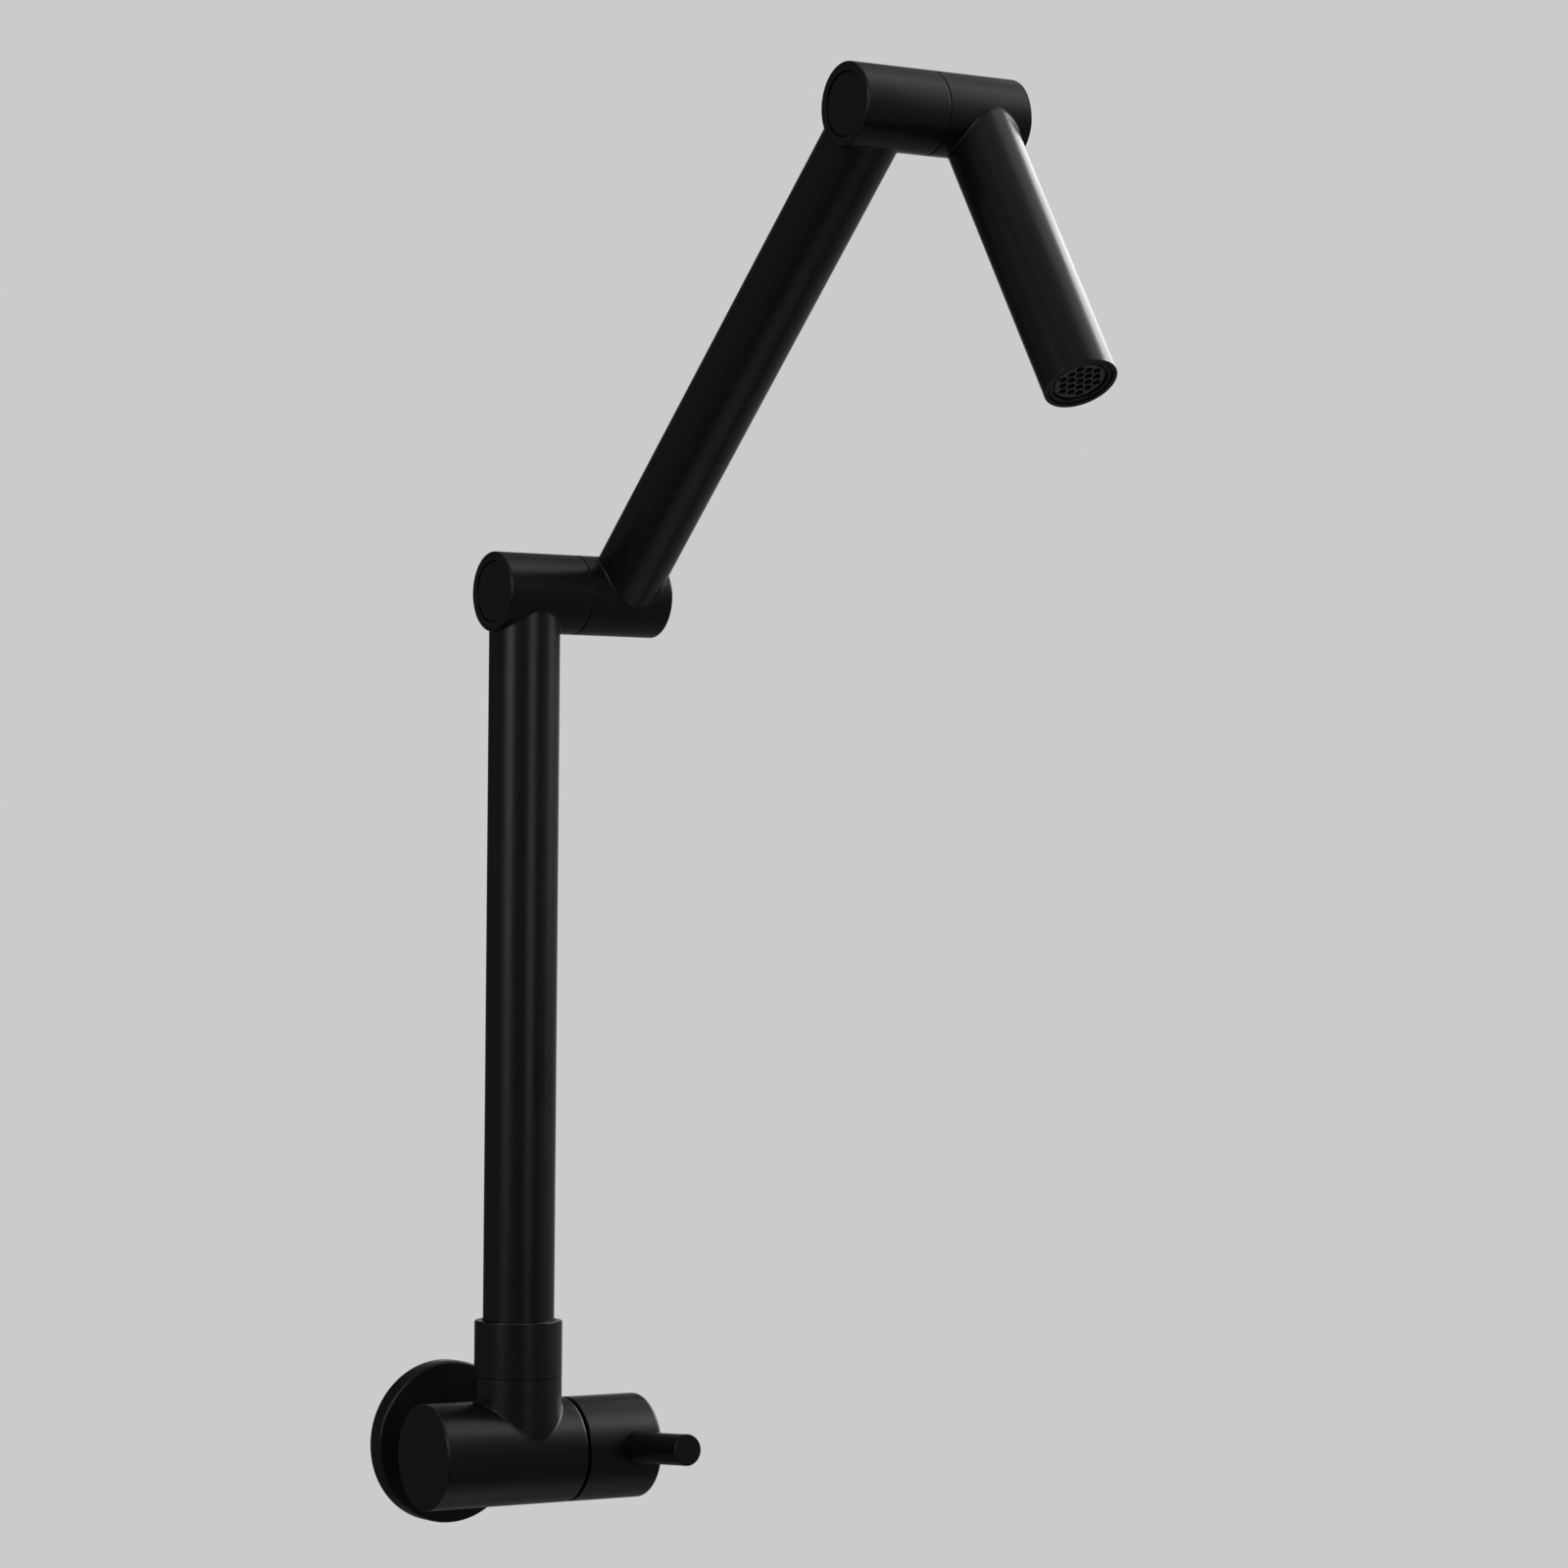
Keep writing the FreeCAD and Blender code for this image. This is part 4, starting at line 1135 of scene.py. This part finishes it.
@dataclass
class BarrelElbow(SubAssembly):
    """Two barrel halves with the end cap and the washer in their seam."""

    body: Body = Body.RISER
    right_body: Body = Body.ARM
    prefix: str = "elbow"
    left_node: str = "riser_barrel"
    right_node: str = "arm_lower_barrel"
    radius: float = 14.1 * MM
    rim_round: float = 0.8 * MM
    seam_chamfer: float = 0.2 * MM
    washer_radius: float = 13.6 * MM
    washer_bore: float = 8.3 * MM
    washer_share: float = 0.9
    cap_radius: float = 10.7 * MM
    cap_play: float = 0.15 * MM
    cap_recess: float = 0.4 * MM
    cap_thickness: float = 2.0 * MM
    cap_chamfer: float = 0.5 * MM
    pocket_radius: float = 8.8 * MM
    pocket_depth: float = 7.2 * MM
    web: float = 2.0 * MM
    stud_hole: float = 4.3 * MM
    bearing: float = 8.05 * MM
    socket_radius: float = 9.02 * MM
    socket_depth: float = 9.0 * MM
    end_wall: float = 4.0 * MM

    def axis(self) -> Axis:
        """Line of the barrel, from its left end."""
        pivot = self.layout.elbow if self.body is Body.RISER else self.layout.top
        return Axis(Vector((low(self.left_node).x, pivot.y, pivot.z)), RIGHT)

    def drawn(self) -> dict[str, Object]:
        """Turns the left half, the right half, the cap just below the rim and the dark washer of the seam.

        Returns:
            The pieces by name.
        """
        left = low(self.left_node).x
        face, start, stop = (
            place.x - left for place in (high(self.left_node), low(self.right_node), high(self.right_node)))
        radius, bearing, chamfer = self.radius, self.bearing, self.seam_chamfer
        hole = self.cap_radius + self.cap_play
        seat = self.cap_recess + self.cap_thickness
        floor = seat + self.pocket_depth
        web = floor + self.web
        socket = start + self.socket_depth
        washer = face + self.washer_share * (start - face)
        profiles = {
            "left_half": (
                (seat, hole), (0, hole, chamfer, 2), (0, radius, self.rim_round), (face, radius, chamfer, 2),
                (face, bearing), (web, bearing), (web, self.stud_hole), (floor, self.stud_hole),
                (floor, self.pocket_radius), (seat, self.pocket_radius),
            ),
            "right_half": (
                (stop - self.end_wall, bearing), (socket, bearing), (socket, self.socket_radius),
                (start, self.socket_radius), (start, radius, chamfer, 2), (stop, radius, self.rim_round),
            ),
            "end_disc": ((seat, self.cap_radius), (self.cap_recess, self.cap_radius, self.cap_chamfer, 3)),
            "seam_ring": (
                (face, self.washer_bore), (face, self.washer_radius),
                (washer, self.washer_radius), (washer, self.washer_bore),
            ),
        }
        closed = ("left_half", "seam_ring")
        axis = self.axis()
        return {
            part: turned(f"{self.prefix}_{part}", axis, rows, part in closed)
            for part, rows in profiles.items()
        }

    def copies_of(self, pattern: "BarrelElbow", pieces: dict[str, Object]) -> dict[str, Object]:
        """Copies of another elbow's pieces, by name, in this one's place."""
        shift = self.axis().origin - pattern.axis().origin
        return {part: copied(piece, f"{self.prefix}_{part}", shift) for part, piece in pieces.items()}

    def build(self, pieces: dict[str, Object]) -> None:
        """Hands over the barrel's pieces and dresses what it holds.

        Args:
            pieces: The pieces by name.
        """
        finishes, prefix = self.finishes, self.prefix
        self.hand_over(pieces["left_half"], self.left_node)
        self.hand_over(pieces["right_half"], self.right_node, body=self.right_body)
        self.hand_over(pieces["end_disc"], f"{prefix}_cap")
        self.hand_over(pieces["seam_ring"], f"{prefix}_seam_washer", finishes.plastic)
        self.dress_nodes(finishes.brass, f"{prefix}_spindle", f"{prefix}_lock_nut")
        self.dress_nodes(finishes.rubber, f"{prefix}_seals")
        self.dress_nodes(finishes.slip, f"{prefix}_slide_washer")
        self.dress_nodes(finishes.steel, f"{prefix}_disc_spring")


@dataclass
class Tubes(SubAssembly):
    """Riser, arm and spout tube."""

    radius: float = 12.5 * MM
    bore: float = 11.0 * MM
    rim_chamfer: float = 0.4 * MM
    rim_inner: float = 0.15 * MM

    def build(self) -> None:
        """Builds the riser that hangs from its barrel, the arm between the barrels and the spout tube."""
        elbow, top, mouth = self.layout.elbow, self.layout.top, self.layout.mouth
        arm_foot = Vector((top.x, elbow.y, elbow.z))
        spout_foot = Vector((mouth.x, top.y, top.z))
        length = (mouth - spout_foot).length
        rim = (length, self.radius, self.rim_chamfer, 3), (length, self.bore, self.rim_inner, 2)
        tube = partial(SaddledPipe, radius=self.radius, bore=self.bore)
        riser = tube("riser_pipe", elbow, math.pi, elbow.z - low("riser_tube").z)
        arm = tube("arm_pipe", arm_foot, self.layout.arm_lean, (top - arm_foot).length, head=True)
        spout = tube("spout_pipe", spout_foot, self.layout.spout_lean, length, rim=rim)
        self.hand_over(riser.build(), "riser_tube", body=Body.RISER)
        self.hand_over(arm.build(), "arm_tube", body=Body.ARM)
        self.hand_over(spout.build(), "spout_tube", body=Body.SPOUT)


@dataclass
class Mouth(SubAssembly):
    """Sleeve, aerator ring and honeycomb in the spout's mouth. Places are set back from the tip."""

    body: Body = Body.SPOUT
    bore: float = 11.0 * MM
    sleeve_setback: float = 1.6 * MM
    sleeve_length: float = 14.4 * MM
    sleeve_bore: float = 10.0 * MM
    shoulder: float = 2.0 * MM
    shoulder_radius: float = 8.5 * MM
    washer: float = 1.4 * MM
    ring_setback: float = 0.4 * MM
    ring_radius: float = 9.98 * MM
    ring_wall: float = 1.4 * MM
    ring_lip: float = 1.0 * MM
    head_radius: float = 10.75 * MM
    head_bore: float = 9.45 * MM
    head_depth: float = 1.15 * MM
    head_recess: float = 1.2 * MM
    head_chamfer: float = 0.3 * MM
    insert_setback: float = 0.9 * MM
    insert_thickness: float = 8.0 * MM
    cell_flats: float = 2.6 * MM
    cell_rib: float = 0.7 * MM
    fine_edge: float = 0.15 * MM

    def build(self) -> None:
        """Builds the threaded sleeve, the aerator ring with its bevelled head and the honeycomb in it."""
        lean = self.layout.spout_lean
        axis = Axis(self.layout.mouth, Vector((0, -math.sin(lean), math.cos(lean))))
        start = -self.sleeve_setback - self.sleeve_length
        shoulder = start + self.shoulder
        sleeve = turned("mouth_sleeve", axis, (
            (start, self.shoulder_radius), (shoulder, self.shoulder_radius), (shoulder, self.sleeve_bore),
            (-self.sleeve_setback, self.sleeve_bore, self.fine_edge, 2), (-self.sleeve_setback, self.bore),
            (start, self.bore),
        ), True)
        self.hand_over(sleeve, "spout_sleeve")
        back, front = shoulder + self.washer, -self.ring_setback
        recess, neck = front - self.head_recess, front - self.head_depth
        inner, chamfer = self.ring_radius - self.ring_wall, self.head_chamfer
        lip, lip_end = inner - self.ring_lip, -self.insert_setback - self.insert_thickness
        ring = turned("aerator_ring", axis, (
            (back, lip), (lip_end, lip), (lip_end, inner), (recess, inner), (recess, self.head_bore),
            (front, self.head_bore, chamfer, 3), (front, self.head_radius, chamfer, 3),
            (neck, self.head_radius), (neck, self.ring_radius), (back, self.ring_radius),
        ), True)
        self.hand_over(ring, "aerator_housing")
        radius = inner - self.fine_edge / 3
        rows = (lip_end, radius), (-self.insert_setback, radius, self.fine_edge, 2)
        comb = turned("aerator_honeycomb", axis, rows)
        corner = corner_radius(self.cell_flats)
        cell = rod(axis, corner, 2 * lip_end, self.insert_thickness, Sides.HEXAGON)
        perforated(comb, cell, axis.direction.cross(RIGHT), self.cell_flats + self.cell_rib)
        self.hand_over(comb, "aerator_insert", self.finishes.plastic)
        self.dress_nodes(self.finishes.rubber, "aerator_washer")


@dataclass(frozen=True)
class Lamp:
    """One soft lamp: where it stands as seen from the tap, its size and its power."""

    name: str
    azimuth: float
    elevation: float
    distance: float
    width: float
    height: float
    power: float

    def build(self, aim: Vector) -> None:
        """Adds the lamp and points it at the tap.

        Args:
            aim: The point that it lights.
        """
        azimuth, elevation = math.radians(self.azimuth), math.radians(self.elevation)
        level = math.cos(elevation)
        towards = Vector((math.sin(azimuth) * level, -math.cos(azimuth) * level, math.sin(elevation)))
        turn = towards.to_track_quat("Z", "Y").to_euler()
        bpy.ops.object.light_add(type="AREA", location=aim + towards * self.distance, rotation=turn)
        lamp = bpy.context.object
        lamp.name = self.name
        lamp.visible_camera = False
        lamp.data.shape = "RECTANGLE"
        lamp.data.size = self.width
        lamp.data.size_y = self.height
        lamp.data.energy = self.power


@dataclass(frozen=True)
class Glow:
    """Light that rises smoothly towards one side of the room, between two cosines to its direction."""

    direction: Vector
    start: float
    stop: float
    strength: float

    def build(self, board: Board) -> NodeSocket:
        """Adds the glow's nodes.

        Args:
            board: The world's node tree.

        Returns:
            Its strength in every direction.
        """
        place = board.add("TexCoord").outputs["Generated"]
        cosine = board.worked("VectorMath", "DOT_PRODUCT", place, self.direction.normalized())
        rise = board.add("MapRange", cosine, self.start, self.stop, 0.0, self.strength)
        rise.interpolation_type = "SMOOTHSTEP"
        return rise.outputs["Result"]


@dataclass
class Studio:
    """Camera, lamps, pale surroundings and floor."""

    layout: Layout
    camera_place: Vector = Vector((-858.15, -1544.68, 196.06)) * MM
    camera_heading: float = math.radians(32.979)
    camera_pitch: float = math.radians(1.294)
    camera_roll: float = math.radians(0.445)
    camera_lens: float = 112.695
    sensor: float = 36.0
    pale: Colour = (0.60, 0.60, 0.59, 1.0)
    white: Colour = (1.0, 1.0, 1.0, 1.0)
    backdrop_edge: float = 0.955
    backdrop_core: float = 0.985
    floor_drop: float = 700.0 * MM
    floor_size: float = 6.0
    floor_centre: Triple = (0.03, -0.14, 0.0)
    fade_start: float = 0.2
    fade_stop: float = 0.6
    lamps: tuple[Lamp, ...] = (
        Lamp("window", 97.0, 28.0, 2.2, 1.2, 1.1, 23.0),
        Lamp("window_near", 82.0, 28.0, 2.2, 0.6, 1.1, 22.0),
        Lamp("window_far", 120.0, 27.0, 2.2, 0.6, 1.1, 7.5),
        Lamp("left_box", -80.0, 14.0, 2.2, 1.15, 1.3, 10.1),
        Lamp("left_strip", -76.0, 14.0, 2.2, 0.45, 1.3, 3.9),
        Lamp("right_box", -3.0, 12.0, 2.2, 0.85, 1.3, 10.1),
        Lamp("ceiling", -20.0, 88.0, 1.9, 2.2, 1.8, 8.5),
        Lamp("front", -33.0, 30.0, 2.4, 1.6, 1.0, 13.0),
        Lamp("lower_box", 62.0, 30.0, 1.3, 0.6, 0.6, 5.0),
        Lamp("side_box", 70.0, 12.0, 2.2, 0.8, 1.0, 3.0),
        Lamp("high_box", 60.0, 56.0, 1.9, 0.8, 0.8, 3.0),
    )
    glows: tuple[Glow, ...] = (
        Glow(UPRIGHT, -2.0, -1.5, 0.05),
        Glow(-RIGHT, 0.25, 0.9, 0.17),
        Glow(RIGHT, 0.0, 0.9, 0.218),
    )

    def ahead(self) -> Vector:
        """Direction in which the camera looks."""
        level, heading = math.cos(self.camera_pitch), self.camera_heading
        return Vector((math.sin(heading) * level, math.cos(heading) * level, math.sin(self.camera_pitch)))

    def camera(self) -> None:
        """Camera at the photograph's angle."""
        ahead = self.ahead()
        side = Vector((math.cos(self.camera_heading), -math.sin(self.camera_heading), 0))
        rise = side.cross(ahead)
        cosine, sine = math.cos(self.camera_roll), math.sin(self.camera_roll)
        turn = Matrix((side * cosine + rise * sine, rise * cosine - side * sine, -ahead)).transposed()
        bpy.ops.object.camera_add(location=self.camera_place, rotation=turn.to_euler())
        camera = bpy.context.object
        camera.data.lens = self.camera_lens
        camera.data.sensor_width = self.sensor
        bpy.context.scene.camera = camera

    def world(self) -> None:
        """Dim room with a pale backdrop behind the tap.

        The camera sees the pale colour all round, glossy and transmitted rays where the backdrop stands.
        """
        world = bpy.data.worlds.new("studio")
        world.use_nodes = True
        world.node_tree.nodes.clear()
        board = Board(world.node_tree)
        total = self.glows[0].build(board)
        for glow in self.glows[1:]:
            total = board.worked("Math", "ADD", total, glow.build(board))
        room = board.add("Background", self.white, total).outputs["Background"]
        backdrop = board.add("Background", self.pale).outputs["Background"]
        rays = board.add("LightPath").outputs
        behind = Glow(self.ahead(), self.backdrop_edge, self.backdrop_core, 1.0).build(board)
        mirrored = board.worked("Math", "ADD", rays["Is Glossy Ray"], rays["Is Transmission Ray"])
        mirrored = board.worked("Math", "MULTIPLY", mirrored, behind)
        seen = board.worked("Math", "MAXIMUM", mirrored, rays["Is Camera Ray"])
        mix = board.add("MixShader", seen, room, backdrop)
        board.add("OutputWorld", Surface=mix.outputs["Shader"])
        bpy.context.scene.world = world

    def floor(self) -> None:
        """Plain pale floor that keeps the tap's shadow and fades into the backdrop."""
        object_mode()
        height = low("wall_flange").z - self.floor_drop
        bpy.ops.mesh.primitive_plane_add(size=self.floor_size, location=(0, 0, height))
        floor = settled("floor")
        material = bpy.data.materials.new("pale_floor")
        material.use_nodes = True
        material.node_tree.nodes.clear()
        board = Board(material.node_tree)
        level = board.add("VectorMath", board.add("TexCoord").outputs["Object"], (1, 1, 0))
        level.operation = "MULTIPLY"
        reach = board.worked("VectorMath", "DISTANCE", level.outputs["Vector"], self.floor_centre)
        span = board.add("MapRange", reach, self.fade_start, self.fade_stop)
        span.interpolation_type = "SMOOTHSTEP"
        matt = board.add("BsdfDiffuse", self.pale).outputs["BSDF"]
        clear = board.add("BsdfTransparent").outputs["BSDF"]
        fade = board.add("MixShader", span.outputs["Result"], matt, clear)
        board.add("OutputMaterial", Surface=fade.outputs["Shader"])
        floor.data.materials.append(material)

    def build(self) -> None:
        """Sets up the whole studio."""
        bpy.context.scene.view_settings.view_transform = "Standard"
        self.camera()
        self.world()
        self.floor()
        for lamp in self.lamps:
            lamp.build((self.layout.body + self.layout.top) / 2)


def main() -> None:
    """Builds every sub-assembly in order, then the studio."""
    logging.basicConfig(level=logging.INFO, format="%(name)s %(message)s")
    layout = Layout.from_frame()
    finishes = Finishes()
    for kind in (WallSide, ValveBody, Handle, Tubes):
        kind(layout, finishes).build()
    elbow = BarrelElbow(layout, finishes)
    top = BarrelElbow(
        layout, finishes, Body.ARM, Body.SPOUT, prefix="top", left_node="arm_upper_barrel",
        right_node="spout_barrel")
    elbow_pieces = elbow.drawn()
    top_pieces = top.copies_of(elbow, elbow_pieces)
    elbow.build(elbow_pieces)
    top.build(top_pieces)
    Mouth(layout, finishes).build()
    Studio(layout).build()
    object_mode()


if __name__ == "__main__":
    main()
